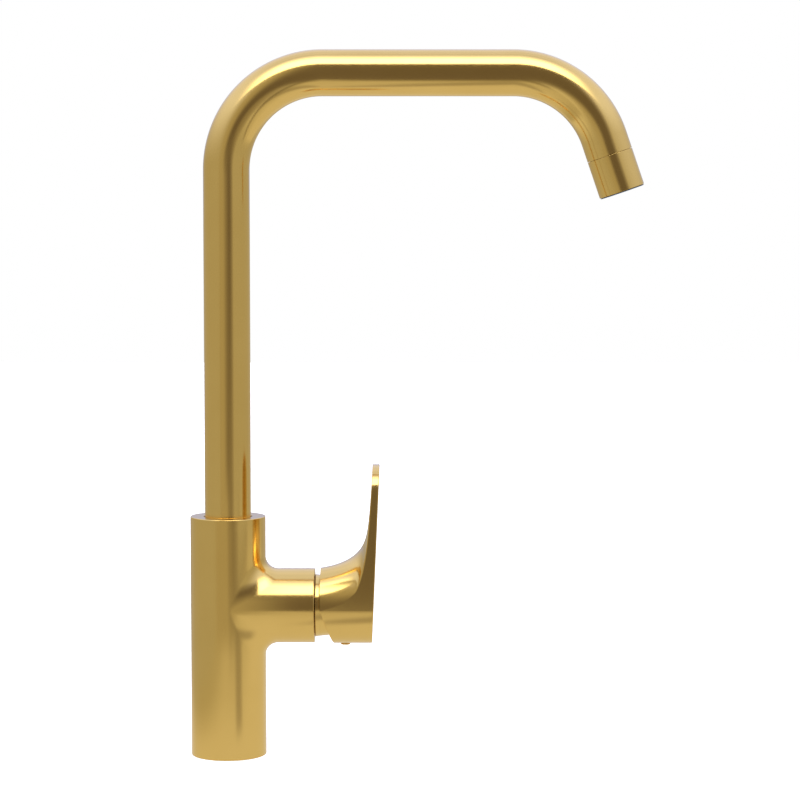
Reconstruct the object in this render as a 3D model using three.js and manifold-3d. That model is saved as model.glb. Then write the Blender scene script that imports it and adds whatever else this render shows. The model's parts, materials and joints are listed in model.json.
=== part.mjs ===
// Single-lever pull-down kitchen mixer. Millimetres, +Z up.
// The origin is the centre of the column where it stands on the deck, and +X is the side
// that the spout and the lever point to.
//
// Three frames place the pieces:
//   the column frame is the model's own,
//   the barrel frame lies along +X at the barrel's height, its local z is the world's x,
//   the tip frame lies along the spout's last straight, its local z runs out of the outlet.
import * as THREE from "three";
import { mergeVertices } from "three/addons/utils/BufferGeometryUtils.js";
import Module from "manifold-3d";

const wasm = await Module();
wasm.setup();

// ---------------------------------------------------------------- driving dimensions
const GAP = 0.3; // clearance between neighbouring pieces

const COLUMN_RADIUS = 22.5;
const COLUMN_HEIGHT = 144;
const CHAMBER_RADIUS = 19; // hollow foot of the column
const CHAMBER_TOP = 60;
const GASKET_SEAT_RADIUS = 20.6;
const GASKET_SEAT_DEPTH = 1.5;
const GASKET_BORE_RADIUS = 18.9;
const GASKET_THICKNESS = 1.2;
const TOP_BORE_RADIUS = 14.35; // the spout turns in this bore
const TOP_BORE_FLOOR = 110.5;
const HOSE_CHANNEL_RADIUS = 6.5;

const BARREL_HEIGHT = 90; // barrel axis above the deck
const BARREL_RADIUS = 22.3;
const BARREL_END = 52;
const BARREL_BORE_RADIUS = 18;
const THREAD_BORE_RADIUS = 19.3;
const THREAD_BORE_START = 43;
const SEAT = 20; // flat face that the cartridge presses on
const FILLET_RADIUS = 7.5; // round between column and barrel, above and below the barrel
const SIDE_FILLET_RADIUS = 24; // and at its two sides, where the skins nearly run together
const FILLET_SINK = 0.12; // the round starts this far under both skins, so that they cut cleanly
const EDGE = 0.6; // chamfer on the casting's outer edges

const SCREW_RADIUS = 2.2;
const SCREW_HEIGHT = 124; // the spout's retaining groove is at this height
const PEG_RADIUS = 1.6; // two pegs under the cartridge stop it turning
const PEG_Y = 12.5;
const PEG_DEPTH = 2.5;

const PORT_RADIUS = 3.1;
const RISER_X = 13;
const PORTS = {
  hot: { y: 8, z: 84 },
  cold: { y: -8, z: 84 },
  mixed: { y: 0, z: 98 },
};

const TUBE_RADIUS = 14;
const TUBE_BORE_RADIUS = 12.8;
const TUBE_FOOT = 138;
const BEND_RADIUS = 57;
const BEND_HEIGHT = 350.5; // centre height of both bends
const SECOND_BEND_X = 170;
const TIP_ANGLE = THREE.MathUtils.degToRad(19); // the tip's lean from straight down
const SEAM = 10.5; // where the spray head parts from the tube, along the tip
const OUTLET = 33.5; // end of the spray head, along the tip
const HOSE_RADIUS = 3.75;
const HOSE_BEND_RADIUS = 34; // the hose cuts the corner of the second bend

const HANDLE_MOUTH = 55.4;
const HANDLE_RADIUS = 22.6;
const HANDLE_CAVITY_RADIUS = 20.9;
const HANDLE_CAVITY_END = 82.5;
const HANDLE_TOP = 175;
const OUTER_FACE_FOOT = 86.3; // the handle's outer face leans from here
const OUTER_FACE_HEAD = 90.9; // to here at its top
const SKEW_TOP = 90; // the mouth is cut on the skew below this height
const SKEW_FOOT = 63.4; // where the skew cut leaves the handle's underside
const HUB_RADIUS = 7.5;
const HUB_START = 66.5;
const PLUG_X = 70.3;

const PIVOT_X = 49.5; // the lever tilts about a pin here
const STEM_HALF = 3.8;
const STEM_END = 79;

const BASE_INSERT_RADIUS = 18.7;
const BASE_INSERT_BOTTOM = 1.7;
const BASE_INSERT_TOP = 9.7;
const INLET = { x: 7, y: 12 }; // hot at +y, cold at -y
const MIXED_NIPPLE_X = 14;
const STUD_HOLE = { x: -12.5, y: 7, radius: 3.2 };

// ---------------------------------------------------------------- finishes
const FINISHES = {
  brushed_gold: { color: 0xc9a04e, metalness: 1, roughness: 0.3 },
  brass: { color: 0xb58d3d, metalness: 1, roughness: 0.38 },
  stainless: { color: 0xb9bcc0, metalness: 1, roughness: 0.3 },
  black_rubber: { color: 0x1c1d1f, metalness: 0, roughness: 0.75 },
  white_plastic: { color: 0xe4e3de, metalness: 0, roughness: 0.5 },
  grey_plastic: { color: 0x55606b, metalness: 0, roughness: 0.5 },
  ceramic: { color: 0xf2efe8, metalness: 0, roughness: 0.2 },
  braided_hose: { color: 0x8f959b, metalness: 0.3, roughness: 0.55 },
};
const materials = Object.fromEntries(
  Object.entries(FINISHES).map(([name, look]) => [name, new THREE.MeshStandardMaterial({ name, ...look })]),
);

// ---------------------------------------------------------------- solids
// A closed geometry as a manifold solid.
function solid(geometry) {
  const bare = geometry.index ? geometry.clone() : geometry;
  bare.deleteAttribute("normal");
  bare.deleteAttribute("uv");
  const merged = mergeVertices(bare, 1e-4);
  const triVerts = solidTriangles(merged.index.array);
  const vertProperties = new Float32Array(merged.attributes.position.array);
  return new wasm.Manifold(new wasm.Mesh({ numProp: 3, vertProperties, triVerts }));
}

// Triangles that merging has squeezed to a line are left out.
function solidTriangles(index) {
  const kept = [];
  for (let i = 0; i < index.length; i += 3) {
    const [a, b, c] = [index[i], index[i + 1], index[i + 2]];
    if (a !== b && b !== c && c !== a) kept.push(a, b, c);
  }
  return new Uint32Array(kept);
}

function geometryOf(body) {
  const mesh = body.getMesh();
  const geometry = new THREE.BufferGeometry();
  const positions = new Float32Array(mesh.numVert * 3);
  for (let i = 0; i < mesh.numVert; i++) {
    for (let k = 0; k < 3; k++) positions[3 * i + k] = mesh.vertProperties[i * mesh.numProp + k];
  }
  geometry.setAttribute("position", new THREE.BufferAttribute(positions, 3));
  geometry.setIndex(new THREE.BufferAttribute(new Uint32Array(mesh.triVerts), 1));
  geometry.computeVertexNormals();
  return geometry;
}

// A turned solid about the local z axis. The profile is [radius, height] pairs that start and
// end on the axis, or close on themselves.
function turned(profile, sides = 20) {
  const points = profile.map(([radius, height]) => new THREE.Vector2(radius, height));
  const geometry = new THREE.LatheGeometry(points, sides);
  geometry.rotateX(Math.PI / 2);
  return solid(geometry);
}

function rod(radius, low, high, sides = 20) {
  return turned([[0, low], [radius, low], [radius, high], [0, high]], sides);
}

function ring(outer, inner, low, high, sides = 20) {
  return turned([[inner, low], [outer, low], [outer, high], [inner, high], [inner, low]], sides);
}

function block([x0, y0, z0], [x1, y1, z1]) {
  const geometry = new THREE.BoxGeometry(x1 - x0, y1 - y0, z1 - z0);
  geometry.translate((x0 + x1) / 2, (y0 + y1) / 2, (z0 + z1) / 2);
  return solid(geometry);
}

// A solid made in the barrel frame, moved to the column frame.
function fromBarrel(body) {
  return body.rotate([0, 90, 0]).translate([0, 0, BARREL_HEIGHT]);
}

// A rod along the world's x axis.
function rodAlongX(radius, x0, x1, y, z, sides = 12) {
  return rod(radius, x0, x1, sides).rotate([0, 90, 0]).translate([0, y, z]);
}

// A rod along the local y axis.
function rodAlongY(radius, y0, y1, x, z, sides = 12) {
  return rod(radius, y0, y1, sides).rotate([-90, 0, 0]).translate([x, 0, z]);
}

function tubeAlong(path, outer, inner, steps, sides) {
  const shape = new THREE.Shape();
  shape.absarc(0, 0, outer, 0, 2 * Math.PI, false);
  if (inner > 0) {
    const hole = new THREE.Path();
    hole.absarc(0, 0, inner, 0, 2 * Math.PI, true);
    shape.holes.push(hole);
  }
  const options = { steps, curveSegments: sides / 2, bevelEnabled: false, extrudePath: path };
  return solid(new THREE.ExtrudeGeometry(shape, options));
}

// ---------------------------------------------------------------- curves
const vector = (x, y, z) => new THREE.Vector3(x, y, z);

// An arc in the y = 0 plane. Angles run from straight up towards +X.
class SideArc extends THREE.Curve {
  constructor(x, z, radius, from, to) {
    super();
    Object.assign(this, { x, z, radius, from, to });
  }
  getPoint(t, target = new THREE.Vector3()) {
    const angle = this.from + (this.to - this.from) * t;
    return target.set(this.x + this.radius * Math.sin(angle), 0, this.z + this.radius * Math.cos(angle));
  }
}

const TIP_DIRECTION = vector(Math.sin(TIP_ANGLE), 0, -Math.cos(TIP_ANGLE));
const TIP_SWEEP = Math.PI / 2 - TIP_ANGLE; // angle that the second bend turns through
const TIP_START = vector(
  SECOND_BEND_X + BEND_RADIUS * Math.sin(TIP_SWEEP),
  0,
  BEND_HEIGHT + BEND_RADIUS * Math.cos(TIP_SWEEP),
);
const alongTip = (s) => TIP_START.clone().addScaledVector(TIP_DIRECTION, s);

// The gooseneck's centre line: up, over, along and down. The second bend may be tighter than
// the first, and then its centre moves so that it still meets the run and the tip's axis.
function gooseneck(footHeight, secondRadius, end) {
  const path = new THREE.CurvePath();
  const runHeight = BEND_HEIGHT + BEND_RADIUS;
  const shift = BEND_RADIUS - secondRadius;
  const bendX = SECOND_BEND_X + shift * Math.tan(TIP_SWEEP / 2);
  path.add(new THREE.LineCurve3(vector(0, 0, footHeight), vector(0, 0, BEND_HEIGHT)));
  path.add(new SideArc(BEND_RADIUS, BEND_HEIGHT, BEND_RADIUS, -Math.PI / 2, 0));
  path.add(new THREE.LineCurve3(vector(BEND_RADIUS, 0, runHeight), vector(bendX, 0, runHeight)));
  path.add(new SideArc(bendX, runHeight - secondRadius, secondRadius, 0, TIP_SWEEP));
  if (end !== null) {
    const bendEnd = -shift * Math.tan(TIP_SWEEP / 2);
    path.add(new THREE.LineCurve3(alongTip(bendEnd), alongTip(end)));
  }
  return path;
}

// ---------------------------------------------------------------- column casting
// The round between the column and the barrel, as a closed skirt: at each angle around the
// barrel an arc touches both cylinders, and one point inside them closes the section.
function junctionSkirt(around = 40, along = 5) {
  const barrelRadius = BARREL_RADIUS - FILLET_SINK;
  const columnRadius = COLUMN_RADIUS - FILLET_SINK;
  const positions = [];
  const index = [];
  const perSection = along + 2;
  for (let i = 0; i < around; i++) {
    const angle = (2 * Math.PI * i) / around;
    const [c, s] = [Math.cos(angle), Math.sin(angle)];
    const radius = FILLET_RADIUS + (SIDE_FILLET_RADIUS - FILLET_RADIUS) * c ** 2;
    const reach = barrelRadius + radius;
    const centreX = Math.sqrt((columnRadius + radius) ** 2 - (reach * c) ** 2);
    const centre = vector(centreX, reach * c, reach * s);
    const toBarrel = vector(0, -c, -s);
    const toColumn = vector(-centre.x, -centre.y, 0).normalize();
    const turn = toBarrel.angleTo(toColumn);
    for (let k = 0; k <= along; k++) {
      const t = k / along;
      const direction = toBarrel.clone().multiplyScalar(Math.sin((1 - t) * turn) / Math.sin(turn));
      direction.addScaledVector(toColumn, Math.sin(t * turn) / Math.sin(turn));
      const point = centre.clone().addScaledVector(direction, radius);
      positions.push(point.x, point.y, point.z + BARREL_HEIGHT);
    }
    const deep = barrelRadius - 3;
    const deepX = Math.sqrt(columnRadius ** 2 - (deep * c) ** 2) - 3;
    positions.push(deepX, deep * c, deep * s + BARREL_HEIGHT);
  }
  for (let i = 0; i < around; i++) {
    const here = i * perSection;
    const next = ((i + 1) % around) * perSection;
    for (let k = 0; k < perSection; k++) {
      const l = (k + 1) % perSection;
      index.push(here + k, next + l, next + k, here + k, here + l, next + l);
    }
  }
  const geometry = new THREE.BufferGeometry();
  geometry.setAttribute("position", new THREE.Float32BufferAttribute(positions, 3));
  geometry.setIndex(index);
  return solid(geometry);
}

function mixerBody() {
  const r = COLUMN_RADIUS;
  const h = COLUMN_HEIGHT;
  const column = turned([[0, 0], [r - EDGE, 0], [r, EDGE], [r, h - EDGE], [r - EDGE, h], [0, h]], 40);
  const e = BARREL_END;
  const b = BARREL_RADIUS;
  const barrel = fromBarrel(turned([[0, 0], [b, 0], [b, e - EDGE], [b - EDGE, e], [0, e]], 40));
  let body = column.add(barrel).add(junctionSkirt());
  const cuts = [
    rod(GASKET_SEAT_RADIUS, -1, GASKET_SEAT_DEPTH),
    rod(CHAMBER_RADIUS, -1, CHAMBER_TOP),
    rod(HOSE_CHANNEL_RADIUS, CHAMBER_TOP - 1, TOP_BORE_FLOOR + 1, 16),
    rod(TOP_BORE_RADIUS, TOP_BORE_FLOOR, COLUMN_HEIGHT + 1, 32),
    fromBarrel(rod(BARREL_BORE_RADIUS, SEAT, BARREL_END + 1)),
    fromBarrel(rod(THREAD_BORE_RADIUS, THREAD_BORE_START, BARREL_END + 1)),
    rodAlongX(SCREW_RADIUS + GAP, -r - 1, -TOP_BORE_RADIUS + 1, 0, SCREW_HEIGHT),
  ];
  for (const { y, z } of Object.values(PORTS)) {
    cuts.push(rod(PORT_RADIUS, CHAMBER_TOP - 1, z + PORT_RADIUS, 12).translate([RISER_X, y, 0]));
    cuts.push(rodAlongX(PORT_RADIUS, RISER_X, SEAT + 1, y, z));
  }
  for (const y of [-PEG_Y, PEG_Y]) {
    cuts.push(rodAlongX(PEG_RADIUS + GAP, SEAT - PEG_DEPTH - GAP, SEAT + 1, y, BARREL_HEIGHT));
  }
  for (const cut of cuts) body = body.subtract(cut);
  return body;
}

// ---------------------------------------------------------------- foot of the column
const HOSE_BUSH_RADIUS = 6.2;
const INLET_BUSH_RADIUS = 4.7;
const INLET_BORE_RADIUS = 3.6;
const MIXED_NIPPLE_RADIUS = 4;
const MIXED_BORE_RADIUS = 3.1;
const RISER_RADIUS = 2.6;
const RISER_BORE_RADIUS = 1.8;
const RISER_TOP = 72;

function baseInsert() {
  let disc = rod(BASE_INSERT_RADIUS, BASE_INSERT_BOTTOM, BASE_INSERT_TOP);
  const hole = (radius, x, y) => rod(radius, 0, BASE_INSERT_TOP + 1, 16).translate([x, y, 0]);
  const holes = [
    hole(HOSE_BUSH_RADIUS + GAP, 0, 0),
    hole(INLET_BUSH_RADIUS + GAP, INLET.x, INLET.y),
    hole(INLET_BUSH_RADIUS + GAP, INLET.x, -INLET.y),
    hole(MIXED_NIPPLE_RADIUS + GAP, MIXED_NIPPLE_X, 0),
    hole(STUD_HOLE.radius, STUD_HOLE.x, STUD_HOLE.y),
    hole(STUD_HOLE.radius, STUD_HOLE.x, -STUD_HOLE.y),
  ];
  for (const cut of holes) disc = disc.subtract(cut);
  return disc;
}

// A copper riser from the foot to its channel in the casting.
function riser(x, y, channelY) {
  const foot = BASE_INSERT_TOP + 2 * GAP;
  const path = new THREE.CatmullRomCurve3([
    vector(x, y, foot),
    vector(x, y, foot + 8),
    vector(RISER_X, channelY, 40),
    vector(RISER_X, channelY, 52),
    vector(RISER_X, channelY, RISER_TOP),
  ]);
  return tubeAlong(path, RISER_RADIUS, RISER_BORE_RADIUS, 8, 8);
}

// ---------------------------------------------------------------- cartridge, barrel frame
// Local z is the world's x. Local x points down, so a world height h above the barrel axis is
// a local x of -h.
const BASE_START = SEAT + 2.1;
const BASE_END = BASE_START + 3.9;
const FIXED_DISC_START = BASE_END + GAP;
const FIXED_DISC_END = FIXED_DISC_START + 3;
const MOVING_DISC_START = FIXED_DISC_END + GAP;
const MOVING_DISC_END = MOVING_DISC_START + 3;
const CARRIER_START = MOVING_DISC_END + GAP;
const CARRIER_END = CARRIER_START + 3;
const DISC_REST_DROP = 3; // the sliding disc rests this far below the barrel axis
const FLANGE_START = CARRIER_END + GAP;
const FLANGE_END = FLANGE_START + 3;
const HOUSING_RADIUS = 17.5;
const HOUSING_BORE_RADIUS = 15.5;
const HOUSING_END = 43;
const DRIVER_RADIUS = 12.8;
const DRIVER_END = 53.8;
const PIN_RADIUS = 1.5;
const TOE_HALF = 2.4; // the lever's square toe sits in the carrier's slot
const FIXED_DISC_RADIUS = 13.5;
const FIXED_DISC_PORT_RADIUS = 2.6;
const MOVING_DISC_RADIUS = 10.4;
const MIXING_CHAMBER_RADIUS = 5.5;
const MIXING_CHAMBER_DEPTH = 2;
const CARRIER_RADIUS = 11.4;
const LEVER_SLOT = { top: -11, bottom: 8.5 }; // room for the lever to lean in

// A round hole through each of the three ports, between two stations.
function portHoles(radius, start, end) {
  return Object.values(PORTS).map(({ y, z }) =>
    rod(radius, start, end, 12).translate([BARREL_HEIGHT - z, y, 0]),
  );
}

function cartridgeBase() {
  let base = rod(HOUSING_RADIUS, BASE_START, BASE_END);
  for (const y of [-PEG_Y, PEG_Y]) {
    base = base.add(rod(PEG_RADIUS, SEAT - PEG_DEPTH, BASE_START + 1, 12).translate([0, y, 0]));
  }
  for (const hole of portHoles(PORT_RADIUS, BASE_START - 1, BASE_END + 1)) base = base.subtract(hole);
  return base;
}

function portSeal({ y, z }) {
  return ring(PORT_RADIUS + 1.3, PORT_RADIUS, SEAT + GAP, BASE_START - GAP, 12)
    .translate([BARREL_HEIGHT - z, y, 0]);
}

function fixedDisc() {
  let disc = rod(FIXED_DISC_RADIUS, FIXED_DISC_START, FIXED_DISC_END);
  const holes = portHoles(FIXED_DISC_PORT_RADIUS, FIXED_DISC_START - 1, FIXED_DISC_END + 1);
  for (const hole of holes) disc = disc.subtract(hole);
  return disc;
}

function movingDisc() {
  const disc = rod(MOVING_DISC_RADIUS, MOVING_DISC_START, MOVING_DISC_END);
  const chamber = rod(MIXING_CHAMBER_RADIUS, MOVING_DISC_START - 1, MOVING_DISC_START + MIXING_CHAMBER_DEPTH);
  return disc.subtract(chamber).translate([DISC_REST_DROP, 0, 0]);
}

function discCarrier() {
  const carrier = rod(CARRIER_RADIUS, CARRIER_START, CARRIER_END).translate([DISC_REST_DROP, 0, 0]);
  const slot = TOE_HALF + 0.5;
  return carrier.subtract(block([-slot, -slot, CARRIER_START - 1], [slot, slot, CARRIER_END + 1]));
}

function cartridgeHousing() {
  const r = HOUSING_RADIUS;
  const bore = HOUSING_BORE_RADIUS;
  const mouth = DRIVER_RADIUS + GAP;
  const start = BASE_END + GAP;
  const web = FLANGE_END + GAP;
  return turned([[bore, start], [r, start], [r, HOUSING_END], [mouth, HOUSING_END], [mouth, web],
    [bore, web], [bore, start]], 32);
}

function cartridgeDriver() {
  const flange = rod(HOUSING_BORE_RADIUS - GAP, FLANGE_START, FLANGE_END);
  const neck = rod(DRIVER_RADIUS, FLANGE_START + 1, DRIVER_END);
  const half = STEM_HALF + 0.6;
  const { top, bottom } = LEVER_SLOT;
  const leverSlot = block([top, -half, FLANGE_START - 1], [bottom, half, DRIVER_END + 1]);
  const pinHole = rodAlongY(PIN_RADIUS + GAP, -20, 20, 0, PIVOT_X);
  return flange.add(neck).subtract(leverSlot).subtract(pinHole);
}

function leverStem() {
  const half = STEM_HALF;
  const stem = block([-half + 0.3, -half, PIVOT_X - 6], [half - 0.3, half, STEM_END]);
  const toe = block([-TOE_HALF, -TOE_HALF, CARRIER_START + 0.6], [TOE_HALF, TOE_HALF, PIVOT_X - 5]);
  return stem.add(toe).subtract(rodAlongY(PIN_RADIUS + GAP, -20, 20, 0, PIVOT_X));
}

const NUT_START = HOUSING_END + GAP;
const NUT_WEB_END = NUT_START + 2.9;
const NUT_END = 52.1;
const NUT_BORE_RADIUS = 16.5;

function cartridgeNut() {
  const r = THREAD_BORE_RADIUS - GAP;
  const web = DRIVER_RADIUS + 0.4;
  const bore = NUT_BORE_RADIUS;
  return turned([[web, NUT_START], [r, NUT_START], [r, BARREL_END - 0.4], [r - 1, BARREL_END - 0.4],
    [r - 1, NUT_END], [bore, NUT_END], [bore, NUT_WEB_END], [web, NUT_WEB_END], [web, NUT_START]], 32);
}

// The neck seen between the barrel and the handle. It screws into the nut.
function domeCollar() {
  const thread = NUT_BORE_RADIUS - GAP;
  const bore = 14.8;
  const foot = 52.4;
  const end = 61.2;
  return turned([[bore, NUT_WEB_END + GAP], [thread, NUT_WEB_END + GAP], [thread, foot], [18.7, foot],
    [17.75, end - 1], [16.9, end], [11, end], [11, end - 1.4], [bore, end - 1.4],
    [bore, NUT_WEB_END + GAP]], 36);
}

// ---------------------------------------------------------------- handle
// The paddle's outline seen along X: straight flanks that draw in a little from the barrel's
// width, round corners and a crowned top.
function paddleOutline() {
  const r = HANDLE_RADIUS;
  const shape = new THREE.Shape();
  const shoulder = { y: 21, z: 157 };
  const crown = { y: 10, z: 173.2 };
  shape.moveTo(-r, BARREL_HEIGHT - 1);
  shape.lineTo(r, BARREL_HEIGHT - 1);
  shape.lineTo(r, BARREL_HEIGHT);
  shape.bezierCurveTo(r, BARREL_HEIGHT + 22, shoulder.y + 0.3, shoulder.z - 22, shoulder.y, shoulder.z);
  shape.bezierCurveTo(shoulder.y - 0.15, 165, 17.2, 170.6, crown.y, crown.z);
  shape.bezierCurveTo(7, 174.3, 3.5, HANDLE_TOP, 0, HANDLE_TOP);
  shape.bezierCurveTo(-3.5, HANDLE_TOP, -7, 174.3, -crown.y, crown.z);
  shape.bezierCurveTo(-17.2, 170.6, 0.15 - shoulder.y, 165, -shoulder.y, shoulder.z);
  shape.bezierCurveTo(-shoulder.y - 0.3, shoulder.z - 22, -r, BARREL_HEIGHT + 22, -r, BARREL_HEIGHT);
  return shape;
}

// The ridge seen from the side: a gentle rise along the barrel, then one long hollow curve up
// into the paddle's inner face. Points are [x, height].
function ridgeLine() {
  const curve = (points, count) => {
    const [a, b, c, d] = points.map(([x, z]) => new THREE.Vector2(x, z));
    return new THREE.CubicBezierCurve(a, b, c, d).getPoints(count).map((p) => [p.x, p.y]);
  };
  const start = [HANDLE_MOUTH, BARREL_HEIGHT + HANDLE_RADIUS];
  const bend = [80.2, 125.6];
  const upright = [84.2, 141.5];
  const rise = curve([start, [64, 113.9], [75, 117], bend], 7);
  const turn = curve([bend, [82.4, 129.2], [83.5, 135], upright], 5);
  const face = curve([upright, [85.2, 151.5], [86, 163], [86.6, 176]], 3);
  return [...rise, ...turn.slice(1), ...face.slice(1), [88, HANDLE_TOP + 30], [95, HANDLE_TOP + 30.5]];
}

// How round the handle's upper side is across, at a height of the ridge: as round as the
// barrel low down, flattening into the paddle's inner face above.
function crossRadius(height) {
  const climb = Math.max(0, height - 121);
  return HANDLE_RADIUS + 0.085 * climb * climb;
}

// The ridge carried across the handle. The solid lies between that surface and the barrel's
// mid-plane.
function ridgeSolid(across = 16) {
  const ridge = ridgeLine();
  const positions = [];
  const index = [];
  const floor = BARREL_HEIGHT - 0.5;
  const columns = across + 1;
  const angles = Array.from({ length: columns }, (_, i) => -Math.PI / 2 + (Math.PI * i) / across);
  for (const [x, z] of ridge) {
    const radius = crossRadius(z);
    for (const angle of angles) {
      const y = HANDLE_RADIUS * Math.sin(angle);
      positions.push(x, y, z - radius + Math.sqrt(radius * radius - y * y));
    }
  }
  const underside = positions.length / 3;
  for (const [x] of ridge) {
    for (const angle of angles) positions.push(x, HANDLE_RADIUS * Math.sin(angle), floor);
  }
  const quad = (a, b, c, d) => index.push(a, b, c, a, c, d);
  const last = ridge.length - 1;
  for (let j = 0; j < last; j++) {
    for (let i = 0; i < across; i++) {
      const a = j * columns + i;
      quad(a, a + columns, a + columns + 1, a + 1);
      quad(underside + a, underside + a + 1, underside + a + columns + 1, underside + a + columns);
    }
    for (const [i, flip] of [[0, false], [across, true]]) {
      const a = j * columns + i;
      const side = [a, underside + a, underside + a + columns, a + columns];
      quad(...(flip ? side.reverse() : side));
    }
  }
  for (let i = 0; i < across; i++) {
    quad(i, i + 1, underside + i + 1, underside + i);
    const a = last * columns + i;
    quad(a, underside + a, underside + a + 1, a + 1);
  }
  const geometry = new THREE.BufferGeometry();
  geometry.setAttribute("position", new THREE.Float32BufferAttribute(positions, 3));
  geometry.setIndex(index);
  return solid(geometry);
}

// A prism across the handle from an outline of [x, height] points, as wide as asked for.
function sidePrism(points, halfWidth = 40) {
  const shape = new THREE.Shape(points.map(([x, z]) => new THREE.Vector2(x, z)));
  const geometry = new THREE.ExtrudeGeometry(shape, { depth: 2 * halfWidth, bevelEnabled: false });
  geometry.rotateX(Math.PI / 2);
  geometry.translate(0, halfWidth, 0);
  return solid(geometry);
}

const GRUB_RADIUS = 2;
const PLUG_RADIUS = 2.6;
const HEX_SIDES = 6;

function handle() {
  const outline = new THREE.ExtrudeGeometry(paddleOutline(), {
    depth: 60,
    bevelEnabled: false,
    curveSegments: 10,
  });
  outline.rotateX(Math.PI / 2);
  outline.rotateZ(Math.PI / 2);
  outline.translate(HANDLE_MOUTH - 10, 0, 0);
  const paddle = ridgeSolid().intersect(solid(outline));
  const sleeve = fromBarrel(rod(HANDLE_RADIUS, HANDLE_MOUTH, OUTER_FACE_HEAD + 5, 48));
  const foot = BARREL_HEIGHT - HANDLE_RADIUS;
  const envelope = sidePrism([
    [HANDLE_MOUTH, 200],
    [HANDLE_MOUTH, SKEW_TOP],
    [SKEW_FOOT, foot],
    [SKEW_FOOT + 0.5, foot - 5],
    [OUTER_FACE_FOOT, foot - 5],
    [OUTER_FACE_FOOT, foot],
    [OUTER_FACE_HEAD, HANDLE_TOP],
    [OUTER_FACE_HEAD, 200],
  ]);
  const cavity = fromBarrel(rod(HANDLE_CAVITY_RADIUS, 0, HANDLE_CAVITY_END, 40));
  const hub = fromBarrel(rod(HUB_RADIUS, HUB_START, HANDLE_CAVITY_END + 1, 24));
  const socket = STEM_HALF + GAP;
  const stemSocket = fromBarrel(block([-socket, -socket, 0], [socket, socket, STEM_END + 1]));
  const screwHole = rod(GRUB_RADIUS + GAP, foot - 5, BARREL_HEIGHT, 16).translate([PLUG_X, 0, 0]);
  const plugHole = rod(PLUG_RADIUS + GAP, foot - 5, foot + 5, 16).translate([PLUG_X, 0, 0]);
  return paddle.add(sleeve)
    .intersect(envelope)
    .subtract(cavity)
    .add(hub)
    .subtract(stemSocket)
    .subtract(screwHole)
    .subtract(plugHole);
}

// A grub screw along +z with a hexagon socket in its lower end.
function grubScrew(radius, low, high) {
  return rod(radius, low, high, 16).subtract(rod(radius * 0.5, low - 1, low + 2.5, HEX_SIDES));
}

function screwPlug() {
  const skin = BARREL_HEIGHT - HANDLE_RADIUS;
  const low = skin - 1.2;
  return turned([[0, low], [2.2, low + 0.1], [3, low + 0.5], [3, skin - GAP], [PLUG_RADIUS, skin - GAP],
    [PLUG_RADIUS, skin + 2.6], [0, skin + 2.6]], 20);
}

// ---------------------------------------------------------------- spout
function spoutTube() {
  return tubeAlong(gooseneck(TUBE_FOOT, BEND_RADIUS, SEAM - 0.15), TUBE_RADIUS, TUBE_BORE_RADIUS, 32, 18);
}

const SHANK_FOOT = 112.4;
const GUIDE_RINGS = { lower: 114.6, upper: 130.6 };
const GUIDE_RING_HEIGHT = 3.4;

// The brass shank that carries the tube in the column, with two guide-ring grooves and the
// groove that the retaining screw runs in.
function spoutShank() {
  const outer = TUBE_RADIUS - 0.1;
  const bore = 9;
  const groove = 11.5;
  const seat = 12.5;
  const body = turned([[bore, SHANK_FOOT], [outer, SHANK_FOOT], [outer, TUBE_FOOT - GAP],
    [TUBE_BORE_RADIUS - GAP, TUBE_FOOT - GAP], [TUBE_BORE_RADIUS - GAP, 150], [bore, 150],
    [bore, SHANK_FOOT]]);
  let shank = body.subtract(ring(20, groove, SCREW_HEIGHT - 2.7, SCREW_HEIGHT + 2.7));
  for (const low of Object.values(GUIDE_RINGS)) {
    shank = shank.subtract(ring(20, seat, low - GAP, low + GUIDE_RING_HEIGHT + GAP));
  }
  return shank;
}

function guideRing(low) {
  return ring(TOP_BORE_RADIUS - 0.12, 12.8, low, low + GUIDE_RING_HEIGHT, 32);
}

function sprayHose() {
  return tubeAlong(gooseneck(BASE_INSERT_BOTTOM, HOSE_BEND_RADIUS, null), HOSE_RADIUS, 0, 36, 8);
}

// ---------------------------------------------------------------- spray head, tip frame
const HOSE_TAIL_START = -(BEND_RADIUS - HOSE_BEND_RADIUS) * Math.tan(TIP_SWEEP / 2) + GAP;
const HOSE_TAIL_END = 9;
const STEM_START = -2.5;
const HEAD_BORE_RADIUS = 12.3;
const SLEEVE_END = OUTLET - 0.5;
const SCREEN_HOLE_RADIUS = 1.25;
const SCREEN_RINGS = [[1, 0], [6, 3.6], [8, 7]]; // how many holes, and how far out

function headSleeve() {
  const start = SEAM + 0.15;
  return turned([[HEAD_BORE_RADIUS, start], [TUBE_RADIUS - 0.2, start], [TUBE_RADIUS, start + 0.2],
    [TUBE_RADIUS, SLEEVE_END - 0.3], [TUBE_RADIUS - 0.3, SLEEVE_END], [HEAD_BORE_RADIUS, SLEEVE_END],
    [HEAD_BORE_RADIUS, start]], 32);
}

function dockingStem() {
  const neck = 9.4;
  const groove = 8.2;
  const flange = HEAD_BORE_RADIUS - GAP;
  return turned([[HOSE_RADIUS + GAP, STEM_START], [neck, STEM_START], [neck, 4], [groove, 4], [groove, 6.6],
    [neck, 6.6], [neck, 11.2], [flange, 11.2], [flange, 14], [8.2, 14], [8.2, 21], [5.9, 21], [5.9, 14.2],
    [3, 14.2], [3, 10.6], [HOSE_RADIUS + GAP, 10.6], [HOSE_RADIUS + GAP, STEM_START]]);
}

function aeratorHousing() {
  const outer = HEAD_BORE_RADIUS - GAP;
  const bore = 10.4;
  const lip = 13.4;
  return turned([[5, 22.6], [outer, 22.6], [outer, SLEEVE_END + 0.2], [lip, SLEEVE_END + 0.2],
    [lip, OUTLET + 0.2], [bore, OUTLET + 0.2], [bore, 25], [5, 25], [5, 22.6]], 32);
}

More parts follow.
